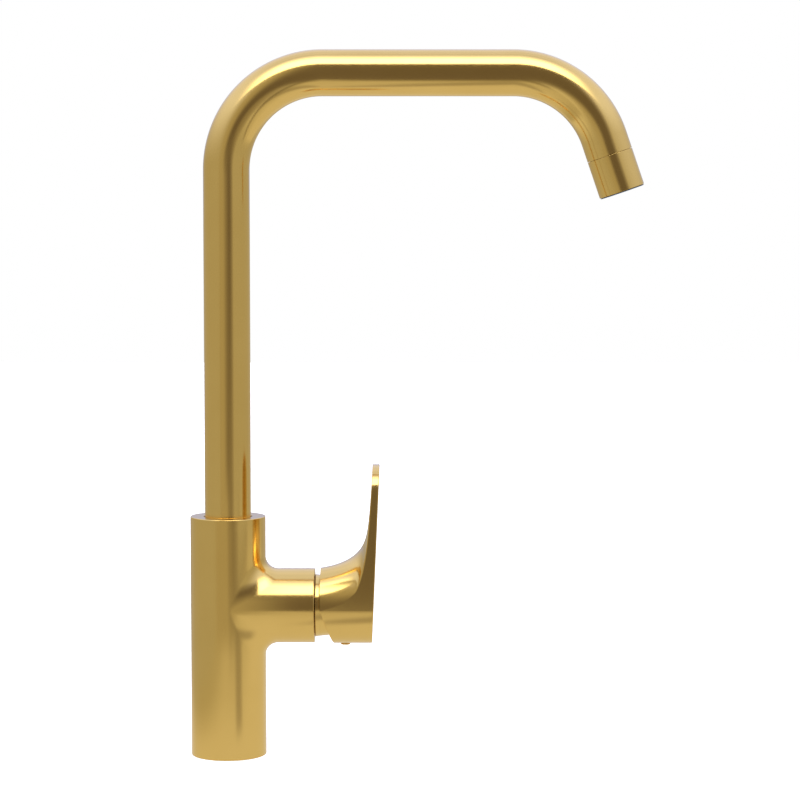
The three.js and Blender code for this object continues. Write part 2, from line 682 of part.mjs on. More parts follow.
// The outlet screen: a disc with one middle hole and rings of holes around it.
function aeratorScreen() {
  const [low, high] = [31.2, 32.4];
  let screen = rod(10.1, low, high, 24);
  for (const [count, radius] of SCREEN_RINGS) {
    for (let i = 0; i < count; i++) {
      const angle = (2 * Math.PI * i) / count;
      const hole = rod(SCREEN_HOLE_RADIUS, low - 1, high + 1, 5);
      screen = screen.subtract(hole.translate([radius * Math.cos(angle), radius * Math.sin(angle), 0]));
    }
  }
  return screen;
}

function checkValve() {
  return rod(5.6, 14.5, 18.5, 20).subtract(rod(3, 14, 17, 12));
}

// ---------------------------------------------------------------- assembly
function piece(group, name, finish, body) {
  const mesh = new THREE.Mesh(geometryOf(body), materials[finish]);
  mesh.name = name;
  group.add(mesh);
}

function addColumn(group) {
  piece(group, "mixer_body", "brushed_gold", mixerBody());
  piece(group, "base_insert", "brass", baseInsert());
  piece(group, "base_gasket", "black_rubber",
    ring(GASKET_SEAT_RADIUS - GAP, GASKET_BORE_RADIUS, 0, GASKET_THICKNESS));
  piece(group, "hose_guide_bush", "white_plastic",
    ring(HOSE_BUSH_RADIUS, HOSE_RADIUS + GAP, BASE_INSERT_BOTTOM, BASE_INSERT_TOP + 2, 16));
  for (const [name, y] of [["hot", INLET.y], ["cold", -INLET.y]]) {
    const bush = ring(INLET_BUSH_RADIUS, INLET_BORE_RADIUS, BASE_INSERT_BOTTOM, BASE_INSERT_TOP + GAP, 16);
    piece(group, `${name}_inlet_bush`, "brass", bush.translate([INLET.x, y, 0]));
    piece(group, `${name}_riser`, "stainless", riser(INLET.x, y, PORTS[name].y));
  }
  const nipple = ring(MIXED_NIPPLE_RADIUS, MIXED_BORE_RADIUS, BASE_INSERT_BOTTOM, BASE_INSERT_TOP + GAP, 16);
  piece(group, "mixed_outlet_nipple", "brass", nipple.translate([MIXED_NIPPLE_X, 0, 0]));
  piece(group, "mixed_downpipe", "stainless", riser(MIXED_NIPPLE_X, 0, PORTS.mixed.y));
  const screw = grubScrew(SCREW_RADIUS, 0, 9.2).rotate([0, 90, 0]);
  piece(group, "spout_retaining_screw", "stainless", screw.translate([-21.6, 0, SCREW_HEIGHT]));
}

function addCartridge(group) {
  piece(group, "cartridge_base", "white_plastic", cartridgeBase());
  for (const [name, port] of Object.entries(PORTS)) {
    piece(group, `${name}_port_seal`, "black_rubber", portSeal(port));
  }
  piece(group, "fixed_disc", "ceramic", fixedDisc());
  piece(group, "moving_disc", "ceramic", movingDisc());
  piece(group, "disc_carrier", "white_plastic", discCarrier());
  piece(group, "cartridge_housing", "white_plastic", cartridgeHousing());
  piece(group, "cartridge_driver", "white_plastic", cartridgeDriver());
  piece(group, "pivot_pin", "stainless", rodAlongY(PIN_RADIUS, -11.6, 11.6, 0, PIVOT_X));
  piece(group, "lever_stem", "brass", leverStem());
  piece(group, "cartridge_nut", "brass", cartridgeNut());
  piece(group, "dome_collar", "brushed_gold", domeCollar());
}

function addHandle(group) {
  const stemUnderside = BARREL_HEIGHT - STEM_HALF + 0.3;
  piece(group, "handle", "brushed_gold", handle());
  const screw = grubScrew(GRUB_RADIUS, 80, stemUnderside - GAP);
  piece(group, "handle_grub_screw", "stainless", screw.translate([PLUG_X, 0, 0]));
  piece(group, "screw_plug", "brushed_gold", screwPlug().translate([PLUG_X, 0, 0]));
}

function addSpout(group) {
  piece(group, "thrust_washer", "white_plastic", ring(13.9, 7.5, TOP_BORE_FLOOR + GAP, SHANK_FOOT - GAP));
  piece(group, "spout_shank", "brass", spoutShank());
  piece(group, "lower_guide_ring", "white_plastic", guideRing(GUIDE_RINGS.lower));
  piece(group, "upper_guide_ring", "white_plastic", guideRing(GUIDE_RINGS.upper));
  piece(group, "spout_tube", "brushed_gold", spoutTube());
  piece(group, "spray_hose", "braided_hose", sprayHose());
}

function addTip(group) {
  const bushRadius = TUBE_BORE_RADIUS - GAP;
  piece(group, "docking_bush", "grey_plastic", ring(bushRadius, 10.3, 2.2, SEAM - 0.6));
  piece(group, "docking_magnet", "stainless", ring(bushRadius - 0.3, 10.3, -1.6, 1.8));
  piece(group, "head_sleeve", "brushed_gold", headSleeve());
  piece(group, "docking_stem", "grey_plastic", dockingStem());
  piece(group, "stem_o_ring", "black_rubber", ring(9.9, 8.5, 4.3, 6.3));
  piece(group, "hose_tail", "braided_hose", rod(HOSE_RADIUS, HOSE_TAIL_START, HOSE_TAIL_END, 20));
  piece(group, "hose_ferrule", "stainless", ring(6.6, HOSE_RADIUS + GAP, -10, STEM_START - GAP, 24));
  piece(group, "hose_washer", "black_rubber", ring(3.7, 2, 9.3, 10.3, 16));
  piece(group, "check_valve", "white_plastic", checkValve());
  piece(group, "flow_regulator", "white_plastic", ring(5.6, 2.2, 18.8, 20.8, 20));
  piece(group, "aerator_housing", "grey_plastic", aeratorHousing());
  piece(group, "aerator_screen", "grey_plastic", aeratorScreen());
}

const faucet = new THREE.Group();
addColumn(faucet);
addHandle(faucet);
addSpout(faucet);

const barrelFrame = new THREE.Group();
barrelFrame.position.z = BARREL_HEIGHT;
barrelFrame.rotation.y = Math.PI / 2;
addCartridge(barrelFrame);
faucet.add(barrelFrame);

const tipFrame = new THREE.Group();
tipFrame.position.copy(TIP_START);
tipFrame.rotation.y = Math.PI - TIP_ANGLE;
addTip(tipFrame);
faucet.add(tipFrame);

export default faucet;
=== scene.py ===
import json
import math

import bmesh
import bpy
import numpy as np
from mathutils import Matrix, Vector

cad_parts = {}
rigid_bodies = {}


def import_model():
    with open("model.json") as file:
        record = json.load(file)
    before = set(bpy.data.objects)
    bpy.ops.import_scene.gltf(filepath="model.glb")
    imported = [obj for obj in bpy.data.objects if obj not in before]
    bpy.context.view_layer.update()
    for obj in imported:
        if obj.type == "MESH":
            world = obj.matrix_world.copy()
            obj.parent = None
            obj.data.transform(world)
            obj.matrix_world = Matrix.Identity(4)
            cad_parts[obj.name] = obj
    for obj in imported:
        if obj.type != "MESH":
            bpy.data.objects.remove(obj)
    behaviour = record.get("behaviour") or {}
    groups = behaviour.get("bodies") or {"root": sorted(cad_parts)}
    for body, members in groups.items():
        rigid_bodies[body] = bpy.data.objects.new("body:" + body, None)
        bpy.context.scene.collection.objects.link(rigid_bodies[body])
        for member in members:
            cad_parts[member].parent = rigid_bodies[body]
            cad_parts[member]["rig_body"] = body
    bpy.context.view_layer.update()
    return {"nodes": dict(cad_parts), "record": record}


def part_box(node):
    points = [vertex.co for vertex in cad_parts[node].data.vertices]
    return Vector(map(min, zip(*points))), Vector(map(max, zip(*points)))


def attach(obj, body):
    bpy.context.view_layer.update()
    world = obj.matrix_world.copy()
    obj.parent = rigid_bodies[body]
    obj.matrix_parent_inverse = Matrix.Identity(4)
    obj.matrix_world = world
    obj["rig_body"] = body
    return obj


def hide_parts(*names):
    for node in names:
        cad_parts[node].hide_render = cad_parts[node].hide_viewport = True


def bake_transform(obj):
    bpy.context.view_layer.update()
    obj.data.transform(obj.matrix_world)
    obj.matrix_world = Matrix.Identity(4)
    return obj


# A brushed gold pull-down kitchen mixer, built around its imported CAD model.
# Shapes are worked out in millimetres in the CAD frame and scaled to metres as they are built.

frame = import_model()

MM = 0.001


def box_mm(node):
    """Lowest and highest corner of a CAD node, in millimetres."""
    low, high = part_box(node)
    return low / MM, high / MM


# ---------------------------------------------------------------- sizes, in millimetres
BODY_LOW, BODY_HIGH = box_mm("mixer_body")
COLUMN_RADIUS = -BODY_LOW.x
COLUMN_HEIGHT = BODY_HIGH.z
BARREL_END = BODY_HIGH.x
BARREL_HEIGHT = (box_mm("cartridge_nut")[0].z + box_mm("cartridge_nut")[1].z) / 2
BARREL_RADIUS = 22.3
FILLET_RADIUS = 7.5
SIDE_FILLET_RADIUS = 24.0
EDGE = 0.6

SOCKET_RADIUS = 14.35
SOCKET_FLOOR = 110.5
FOOT_BORE_RADIUS = 19.0
FOOT_BORE_END = 60.0
FOOT_RECESS_RADIUS = 20.6
FOOT_RECESS_DEPTH = 1.5
WATERWAY_RADIUS = 6.5
NUT_THREAD_RADIUS = 19.3
NUT_THREAD_END = 43.0
CARTRIDGE_BORE_RADIUS = 18.0
CARTRIDGE_BORE_END = 20.0
SCREW_HEIGHT = 124.0
SCREW_HOLE_RADIUS = 2.5
SCREW_POCKET = (-21.5, -15.2)  # from inside the skin to the pocket's floor

TUBE_LOW, TUBE_HIGH = box_mm("spout_tube")
TUBE_RADIUS = -TUBE_LOW.x
TUBE_BORE = TUBE_RADIUS - 1.2
TUBE_FOOT = TUBE_LOW.z
BEND_RADIUS = 57.0
BEND_HEIGHT = TUBE_HIGH.z - TUBE_RADIUS - BEND_RADIUS
SECOND_BEND_X = 170.0
TIP_ANGLE = math.radians(19)
TIP_SWEEP = math.pi / 2 - TIP_ANGLE
TIP_AXIS = Vector((math.sin(TIP_ANGLE), 0, -math.cos(TIP_ANGLE)))
TIP_SIDE = Vector((math.cos(TIP_ANGLE), 0, math.sin(TIP_ANGLE)))
TIP_START = Vector((SECOND_BEND_X + BEND_RADIUS * math.sin(TIP_SWEEP), 0,
                    BEND_HEIGHT + BEND_RADIUS * math.cos(TIP_SWEEP)))
SEAM = 10.5
SEAM_HALF_GAP = 0.1
OUTLET = 33.5
HOSE_RADIUS = 3.75
HOSE_SLEEVE_BORE = 4.05
SPIGOT_GAP = 0.12
LIP_EDGE = 0.12
CELL_PITCH = 2.05
CELL_HOLE = 0.82
SCREEN_RADIUS = 10.1
SCREEN_LOW = 31.2
SCREEN_HIGH = 32.4

HANDLE_LOW, HANDLE_HIGH = box_mm("handle")
HANDLE_MOUTH = HANDLE_LOW.x
HANDLE_TOP = HANDLE_HIGH.z
HANDLE_RADIUS = HANDLE_HIGH.y
HANDLE_FOOT = BARREL_HEIGHT - HANDLE_RADIUS
CAVITY_RADIUS = 20.9
CAVITY_END = 82.5
OUTER_FACE_FOOT = 86.3
OUTER_FACE_HEAD = HANDLE_HIGH.x
SKEW_TOP = 90.0
SKEW_FOOT = 63.4
PLUG_X = 70.3
BOSS_RADIUS = 7.5
BOSS_BORE = 4.1
BOSS_START = 66.5
MOUTH_EDGE = 0.4
CREASE_EDGE = 0.45
FACE_EDGE = 0.5

UP = Vector((0, 0, 1))
ACROSS = Vector((0, 1, 0))
ALONG = Vector((1, 0, 0))


# ---------------------------------------------------------------- mesh building
class Skin:
    """Points in millimetres and faces, gathered row by row, then made into one closed mesh."""

    def __init__(self):
        self.points = []
        self.faces = []

    def row(self, points):
        first = len(self.points)
        self.points.extend(tuple(p) for p in points)
        return list(range(first, len(self.points)))

    def strip(self, a, b, closed=False):
        count = len(a) if closed else len(a) - 1
        for i in range(count):
            j = (i + 1) % len(a)
            self.faces.append((a[i], a[j], b[j], b[i]))

    def strips(self, rows, closed=False):
        for a, b in zip(rows, rows[1:]):
            self.strip(a, b, closed)

    def cap(self, row, centre):
        middle = self.row([centre])[0]
        for i in range(len(row)):
            self.faces.append((row[i], row[(i + 1) % len(row)], middle))

    def turn(self, profile, origin, axis, side, segments=96):
        """Revolves a closed profile of (radius, height) points about an axis."""
        other = axis.cross(side)
        rows = []
        for radius, height in profile:
            ring = []
            for i in range(segments):
                a = 2 * math.pi * i / segments
                ring.append(origin + axis * height + (side * math.cos(a) + other * math.sin(a)) * radius)
            rows.append(self.row(ring))
        self.strips(rows + rows[:1], closed=True)

    def build(self, name, body, material, sharp=38):
        mesh = bpy.data.meshes.new(name)
        mesh.from_pydata([Vector(p) * MM for p in self.points], [], self.faces)
        bm = bmesh.new()
        bm.from_mesh(mesh)
        bmesh.ops.remove_doubles(bm, verts=bm.verts, dist=2e-6)
        bmesh.ops.dissolve_degenerate(bm, dist=1e-7, edges=bm.edges)
        bmesh.ops.recalc_face_normals(bm, faces=bm.faces)
        bm.to_mesh(mesh)
        bm.free()
        obj = bpy.data.objects.new(name, mesh)
        bpy.context.scene.collection.objects.link(obj)
        mesh.materials.append(material)
        mesh.shade_smooth()
        mesh.set_sharp_from_angle(angle=math.radians(sharp))
        weighted = obj.modifiers.new("weighted_normals", "WEIGHTED_NORMAL")
        weighted.keep_sharp = True
        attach(obj, body)
        return obj


def softened(profile, radius, steps=4):
    """A closed profile with each corner rounded by up to radius. Corners on the axis stay sharp."""
    share = 0.45  # of each side, at most, so that two roundings never meet
    result = []
    count = len(profile)
    for i in range(count):
        corner = Vector(profile[i])
        to_last = Vector(profile[i - 1]) - corner
        to_next = Vector(profile[(i + 1) % count]) - corner
        if corner.x < 1e-6:
            result.append(tuple(corner))
            continue
        reach = min(radius, share * to_last.length, share * to_next.length)
        start = corner + to_last.normalized() * reach
        end = corner + to_next.normalized() * reach
        for k in range(steps + 1):
            t = k / steps
            point = start * (1 - t) ** 2 + corner * 2 * t * (1 - t) + end * t ** 2
            result.append(tuple(point))
    return result


def corner_row(start, corner, end, t):
    """Points part of the way round a rounded corner, one for each point of three rows."""
    return [Vector(s) * (1 - t) ** 2 + Vector(c) * 2 * t * (1 - t) + Vector(e) * t ** 2
            for s, c, e in zip(start, corner, end)]


def turned_piece(name, node, body, material, profile, origin, axis, side, segments=96, soft=0.2):
    """A turned piece that stands for a CAD node."""
    skin = Skin()
    skin.turn(softened(profile, soft), origin, axis, side, segments)
    obj = skin.build(name, body, material)
    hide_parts(node)


def bezier(points, count):
    """Points along a cubic Bezier curve, ends included."""
    a, b, c, d = [np.array(p, float) for p in points]
    t = np.linspace(0, 1, count)[:, None]
    return (1 - t) ** 3 * a + 3 * (1 - t) ** 2 * t * b + 3 * (1 - t) * t ** 2 * c + t ** 3 * d


# ---------------------------------------------------------------- materials
def new_material(name):
    material = bpy.data.materials.new(name)
    material.use_nodes = True
    return material, material.node_tree.nodes, material.node_tree.links


def noise(nodes, links, coordinates, scale, detail):
    """Noise in object space."""
    texture = nodes.new("ShaderNodeTexNoise")
    texture.inputs["Scale"].default_value = scale
    texture.inputs["Detail"].default_value = detail
    links.new(coordinates.outputs["Object"], texture.inputs["Vector"])
    return texture.outputs["Fac"]


def span(nodes, links, value, low, high):
    """Maps 0..1 to low..high."""
    node = nodes.new("ShaderNodeMapRange")
    node.inputs["To Min"].default_value = low
    node.inputs["To Max"].default_value = high
    links.new(value, node.inputs["Value"])
    return node.outputs["Result"]


def tinted(nodes, links, value, dark, light):
    ramp = nodes.new("ShaderNodeValToRGB")
    ramp.color_ramp.elements[0].position = 0.3
    ramp.color_ramp.elements[0].color = (*dark, 1)
    ramp.color_ramp.elements[1].position = 0.7
    ramp.color_ramp.elements[1].color = (*light, 1)
    links.new(value, ramp.inputs["Fac"])
    return ramp.outputs["Color"]


def bump(nodes, links, value, strength, distance):
    node = nodes.new("ShaderNodeBump")
    node.inputs["Strength"].default_value = strength
    node.inputs["Distance"].default_value = distance
    links.new(value, node.inputs["Height"])
    return node.outputs["Normal"]


BLOTCH_SCALE = 35.0
GRAIN_DEPTH = 0.00005


def surface(name, dark, light, metallic, roughness, grain, bump_strength):
    """A finish with a little variation of colour, gloss and grain."""
    material, nodes, links = new_material(name)
    shader = nodes["Principled BSDF"]
    shader.inputs["Metallic"].default_value = metallic
    coordinates = nodes.new("ShaderNodeTexCoord")
    broad = noise(nodes, links, coordinates, BLOTCH_SCALE, detail=2.0)
    fine = noise(nodes, links, coordinates, grain, detail=4.0)
    links.new(tinted(nodes, links, broad, dark, light), shader.inputs["Base Color"])
    links.new(span(nodes, links, fine, *roughness), shader.inputs["Roughness"])
    links.new(bump(nodes, links, fine, bump_strength, GRAIN_DEPTH), shader.inputs["Normal"])
    return material


GOLD = surface("brushed_gold", (0.80, 0.545, 0.165), (0.83, 0.57, 0.178), 1.0, (0.14, 0.18), 900.0, 0.04)
BRASS = surface("machined_brass", (0.62, 0.42, 0.15), (0.70, 0.48, 0.19), 1.0, (0.2, 0.34), 500.0, 0.1)
STEEL = surface("machined_steel", (0.52, 0.53, 0.55), (0.62, 0.63, 0.65), 1.0, (0.18, 0.32), 500.0, 0.1)
RUBBER = surface("black_rubber", (0.018, 0.018, 0.02), (0.028, 0.028, 0.03), 0.0, (0.55, 0.75), 700.0, 0.3)
WHITE = surface("white_plastic", (0.74, 0.73, 0.70), (0.80, 0.79, 0.76), 0.0, (0.3, 0.42), 400.0, 0.1)
GREY = surface("grey_plastic", (0.075, 0.095, 0.12), (0.095, 0.12, 0.15), 0.0, (0.35, 0.5), 600.0, 0.15)
CERAMIC = surface("ceramic", (0.82, 0.80, 0.75), (0.88, 0.86, 0.82), 0.0, (0.08, 0.16), 300.0, 0.03)


def braid():
    """Grey nylon braid: two sets of strands that cross."""
    material, nodes, links = new_material("braided_nylon")
    shader = nodes["Principled BSDF"]
    coordinates = nodes.new("ShaderNodeTexCoord")
    lay, twist, strand_scale = 0.8, 0.4, 260.0
    waves = []
    for tilt in (lay, -lay):
        mapping = nodes.new("ShaderNodeMapping")
        mapping.inputs["Rotation"].default_value = (0, TIP_ANGLE + tilt, twist)
        links.new(coordinates.outputs["Object"], mapping.inputs["Vector"])
        wave = nodes.new("ShaderNodeTexWave")
        wave.inputs["Scale"].default_value = strand_scale
        links.new(mapping.outputs["Vector"], wave.inputs["Vector"])
        waves.append(wave.outputs["Fac"])
    woven = nodes.new("ShaderNodeMath")
    woven.operation = "MAXIMUM"
    links.new(waves[0], woven.inputs[0])
    links.new(waves[1], woven.inputs[1])
    links.new(tinted(nodes, links, woven.outputs[0], (0.05, 0.055, 0.06), (0.3, 0.31, 0.33)),
              shader.inputs["Base Color"])
    links.new(span(nodes, links, woven.outputs[0], 0.7, 0.45), shader.inputs["Roughness"])
    links.new(bump(nodes, links, woven.outputs[0], 0.6, 0.0003), shader.inputs["Normal"])
    return material


BRAID = braid()
FINISHES = {
    "brushed_gold": GOLD,
    "brass": BRASS,
    "stainless": STEEL,
    "black_rubber": RUBBER,
    "white_plastic": WHITE,
    "grey_plastic": GREY,
    "ceramic": CERAMIC,
    "braided_hose": BRAID,
}


CAD_SHARP_ANGLE = math.radians(35)


def finish_cad_nodes():
    """Every carried-over CAD node gets its slot's finish and shading that follows its edges."""
    slots = {row["node"]: row["material_slot"] for row in frame["record"]["subparts"]}
    for name, obj in frame["nodes"].items():
        obj.data.materials.clear()
        obj.data.materials.append(FINISHES[slots[name]])
        obj.data.shade_smooth()
        obj.data.set_sharp_from_angle(angle=CAD_SHARP_ANGLE)


# ---------------------------------------------------------------- column casting
COLUMN_SEGMENTS = 144
COLUMN_PITCH = 2 * math.pi * COLUMN_RADIUS / COLUMN_SEGMENTS
EDGE_STEPS = 4
ZONE_LOW = 54.0  # the round to the barrel and the screw hole lie within the zone's rows
ZONE_STEP = 1.5
ZONE_ROWS = 56
BARREL_BLOCK = ((0, ZONE_ROWS), (COLUMN_SEGMENTS // 4, 3 * COLUMN_SEGMENTS // 4))
SCREW_BLOCK = ((41, 52), (-6, 6))


def on_column(arc_length, height, radius=COLUMN_RADIUS):
    """A point on the column's skin, by distance round it from the +X side and by height."""
    a = arc_length / COLUMN_RADIUS
    return Vector((radius * math.cos(a), radius * math.sin(a), height))


def column_ring(height, radius=COLUMN_RADIUS):
    """Points round the column at a height. The first is on the -X side."""
    return [on_column((c - COLUMN_SEGMENTS // 2) * COLUMN_PITCH, height, radius)
            for c in range(COLUMN_SEGMENTS)]


def junction_ball(phi):
    """Centre and radius of the ball that touches column and barrel, at an angle round the barrel."""
    radius = FILLET_RADIUS + (SIDE_FILLET_RADIUS - FILLET_RADIUS) * math.cos(phi) ** 2
    reach = BARREL_RADIUS + radius
    y, z = reach * math.cos(phi), reach * math.sin(phi)
    return Vector((math.sqrt((COLUMN_RADIUS + radius) ** 2 - y * y), y, BARREL_HEIGHT + z)), radius


def junction_arc(phi, steps):
    """The round's section at an angle round the barrel, from the column to the barrel."""
    centre, radius = junction_ball(phi)
    to_barrel = Vector((0, -math.cos(phi), -math.sin(phi)))
    to_column = -Vector((centre.x, centre.y, 0)).normalized()
    return [centre + to_column.slerp(to_barrel, k / steps) * radius for k in range(steps + 1)]


def hole_in_grid(skin, grid, rows, columns, rim):
    """Fills a block of the grid's cells up to a hole in it. rim gives the hole's edge, as
    (distance round, height), and its angles for a list of points round the block. Returns the
    hole's rim as a row, and the angles."""
    low, high = rows
    left, right = columns
    cells = [(low, c) for c in range(left, right)]
    cells += [(r, right) for r in range(low, high)]
    cells += [(high, c) for c in range(right, left, -1)]
    cells += [(r, left) for r in range(high, low, -1)]
    around = [grid.index(r, c) for r, c in cells]
    flat = [grid.flat(r, c) for r, c in cells]
    edge, angles = rim(flat)
    depth = 10
    inner_rows = []
    for k in range(depth, 0, -1):
        t = k / depth
        ring = [on_column(f[0] * (1 - t) + e[0] * t, f[1] * (1 - t) + e[1] * t) for f, e in zip(flat, edge)]
        inner_rows.append(skin.row(ring))
    skin.strips(inner_rows + [around], closed=True)
    return inner_rows[0], angles


class ColumnGrid:
    """The column's skin in the zone, as rows of points round it. Column 0 is the -X side."""

    def __init__(self, skin):
        self.heights = [ZONE_LOW + ZONE_STEP * k for k in range(ZONE_ROWS + 1)]
        self.rows = [skin.row(column_ring(h)) for h in self.heights]

    def index(self, r, c):
        return self.rows[r][c % COLUMN_SEGMENTS]

    def flat(self, r, c):
        return ((c - COLUMN_SEGMENTS // 2) * COLUMN_PITCH, self.heights[r])

    def fill(self, skin, blocks):
        """Faces of every cell that is in none of the blocks."""
        for r in range(ZONE_ROWS):
            for c in range(COLUMN_SEGMENTS):
                if not any(self.inside(block, r, c) for block in blocks):
                    skin.faces.append((self.index(r, c), self.index(r, c + 1),
                                       self.index(r + 1, c + 1), self.index(r + 1, c)))

    def inside(self, block, r, c):
        (low, high), (left, right) = block
        return low <= r < high and (left <= c < right or left <= c - COLUMN_SEGMENTS < right)


def junction_rim(flat):
    """Where the round leaves the column, in the direction of each point of a list."""
    table = []
    count = 2880
    for k in range(count + 1):
        phi = 2 * math.pi * k / count - math.pi
        start = junction_arc(phi, 1)[0]
        arc = COLUMN_RADIUS * math.atan2(start.y, start.x)
        table.append((math.atan2(start.z - BARREL_HEIGHT, arc), phi))
    table = np.array(table)
    table = table[np.argsort(table[:, 0])]
    edge, angles = [], []
    for arc, height in flat:
        direction = math.atan2(height - BARREL_HEIGHT, arc)
        phi_sin = np.interp(direction, table[:, 0], np.sin(table[:, 1]))
        phi_cos = np.interp(direction, table[:, 0], np.cos(table[:, 1]))
        phi = math.atan2(phi_sin, phi_cos)
        start = junction_arc(phi, 1)[0]
        edge.append((COLUMN_RADIUS * math.atan2(start.y, start.x), start.z))
        angles.append(phi)
    return edge, angles


def screw_rim(flat):
    """The edge of the retaining screw's hole, in the direction of each point of a list."""
    middle = -math.pi * COLUMN_RADIUS
    edge, angles = [], []
    for arc, height in flat:
        a = math.atan2(height - SCREW_HEIGHT, arc - middle)
        edge.append((middle + SCREW_HOLE_RADIUS * math.cos(a),
                     SCREW_HEIGHT + SCREW_HOLE_RADIUS * math.sin(a)))
        angles.append(a)
    return edge, angles


def column_turned_rows(skin):
    """Everything on the column that is turned about its axis: from the zone's top edge over the
    top face, down the bores, round the foot and up to the zone's bottom edge."""
    r, h = COLUMN_RADIUS, COLUMN_HEIGHT
    profile = [(SOCKET_RADIUS, h), (r, h), (r, 0), (FOOT_RECESS_RADIUS, 0),
               (FOOT_RECESS_RADIUS, FOOT_RECESS_DEPTH), (FOOT_BORE_RADIUS, FOOT_RECESS_DEPTH),
               (FOOT_BORE_RADIUS, FOOT_BORE_END), (WATERWAY_RADIUS, FOOT_BORE_END),
               (WATERWAY_RADIUS, SOCKET_FLOOR), (SOCKET_RADIUS, SOCKET_FLOOR)]
    rounded = softened(profile, EDGE, EDGE_STEPS)
    skin_length = h / 3  # the step down the column's skin is longer than this
    split = next(i for i, (a, b) in enumerate(zip(rounded, rounded[1:]))
                 if abs(a[0] - r) < 1e-6 and abs(b[0] - r) < 1e-6 and a[1] - b[1] > skin_length)
    ordered = rounded[split + 1:] + rounded[:split + 1]
    rows = [skin.row(column_ring(height, radius)) for radius, height in ordered]
    skin.strips(rows, closed=True)
    return rows[0], rows[-1]


def barrel_profile():
    """The barrel's end and bore from its outer edge inward, as (radius, x)."""
    start = BARREL_END - 6
    rounded = softened([(BARREL_RADIUS, start), (BARREL_RADIUS, BARREL_END),
                        (NUT_THREAD_RADIUS, BARREL_END), (NUT_THREAD_RADIUS, NUT_THREAD_END),
                        (CARTRIDGE_BORE_RADIUS, NUT_THREAD_END),
                        (CARTRIDGE_BORE_RADIUS, CARTRIDGE_BORE_END), (0, CARTRIDGE_BORE_END),
                        (0, start)], EDGE, EDGE_STEPS)
    past_start = EDGE_STEPS + 1  # points of the first corner, which lies on the barrel's side
    return [p for p in rounded[past_start:] if p[0] > 1e-6]


def barrel(skin, rim, angles):
    """The round from the column's skin, the barrel and its bore."""
    steps = 14
    straight = 10
    arcs = [junction_arc(phi, steps) for phi in angles]
    rows = [rim] + [skin.row([arc[k] for arc in arcs]) for k in range(1, steps + 1)]
    reach = [arc[-1].x for arc in arcs]

    def barrel_row(radius, stations):
        return skin.row([Vector((x, radius * math.cos(phi), BARREL_HEIGHT + radius * math.sin(phi)))
                         for x, phi in zip(stations, angles)])

    for k in range(1, straight + 1):
        t = k / straight
        rows.append(barrel_row(BARREL_RADIUS, [x + (BARREL_END - EDGE - x) * t for x in reach]))
    for radius, x in barrel_profile():
        rows.append(barrel_row(radius, [x] * len(angles)))
    skin.strips(rows, closed=True)
    skin.cap(rows[-1], Vector((CARTRIDGE_BORE_END, 0, BARREL_HEIGHT)))


def screw_pocket(skin, rim, angles):
    """The retaining screw's blind hole at the back of the column."""
    r = SCREW_HOLE_RADIUS
    rows = [rim]
    for x in SCREW_POCKET:
        rows.append(skin.row([Vector((x, -r * math.cos(a), SCREW_HEIGHT + r * math.sin(a))) for a in angles]))
    skin.strips(rows, closed=True)
    skin.cap(rows[-1], Vector((SCREW_POCKET[-1], 0, SCREW_HEIGHT)))


def mixer_body():
    skin = Skin()
    grid = ColumnGrid(skin)
    grid.fill(skin, [BARREL_BLOCK, SCREW_BLOCK])
    foot_row, top_row = column_turned_rows(skin)
    skin.strip(grid.rows[0], foot_row, closed=True)
    skin.strip(grid.rows[-1], top_row, closed=True)
    barrel(skin, *hole_in_grid(skin, grid, *BARREL_BLOCK, junction_rim))
    screw_pocket(skin, *hole_in_grid(skin, grid, *SCREW_BLOCK, screw_rim))
    body = skin.build("mixer_body_skin", "mixer", GOLD)
    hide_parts("mixer_body")


# ---------------------------------------------------------------- spout
def gooseneck_stations():
    """Points and tangents along the spout's centre line, close together round the bends."""
    margin = 12
    rise_steps = 64
    fall_steps = 52
    stations = [(Vector((0, 0, z)), UP) for z in (TUBE_FOOT, TUBE_FOOT + margin, BEND_HEIGHT - margin)]
    for k in range(rise_steps + 1):
        a = math.pi / 2 * k / rise_steps
        place = Vector((BEND_RADIUS - BEND_RADIUS * math.cos(a), 0, BEND_HEIGHT + BEND_RADIUS * math.sin(a)))
        stations.append((place, Vector((math.sin(a), 0, math.cos(a)))))
    stations += [(Vector((x, 0, BEND_HEIGHT + BEND_RADIUS)), ALONG)
                 for x in (BEND_RADIUS + margin, SECOND_BEND_X - margin)]
    for k in range(fall_steps + 1):
        a = TIP_SWEEP * k / fall_steps
        place = Vector((SECOND_BEND_X + BEND_RADIUS * math.sin(a), 0,
                        BEND_HEIGHT + BEND_RADIUS * math.cos(a)))
        stations.append((place, Vector((math.cos(a), 0, -math.sin(a)))))
    return stations


def spout_tube():
    skin = Skin()
    segments = 96
    stations = gooseneck_stations()

    def ring(centre, tangent, radius):
        outward = ACROSS.cross(tangent)
        return skin.row([centre + (outward * math.cos(2 * math.pi * i / segments)
                                   + ACROSS * math.sin(2 * math.pi * i / segments)) * radius
                         for i in range(segments)])

    outer = [ring(c, t, TUBE_RADIUS) for c, t in stations]
    inner = [ring(c, t, TUBE_BORE) for c, t in stations]
    end = SEAM - SEAM_HALF_GAP
    middle = LIP_EDGE * 0.3
    bore_edge = 0.1
    lip = [(TUBE_RADIUS, end - LIP_EDGE), (TUBE_RADIUS - middle, end - middle),
           (TUBE_RADIUS - LIP_EDGE, end), (TUBE_BORE + bore_edge, end), (TUBE_BORE, end - bore_edge)]
    lips = [ring(TIP_START + TIP_AXIS * s, TIP_AXIS, radius) for radius, s in lip]
    skin.strips(outer + lips + inner[::-1] + outer[:1], closed=True)
    tube = skin.build("spout_tube_skin", "spout", GOLD)
    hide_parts("spout_tube")


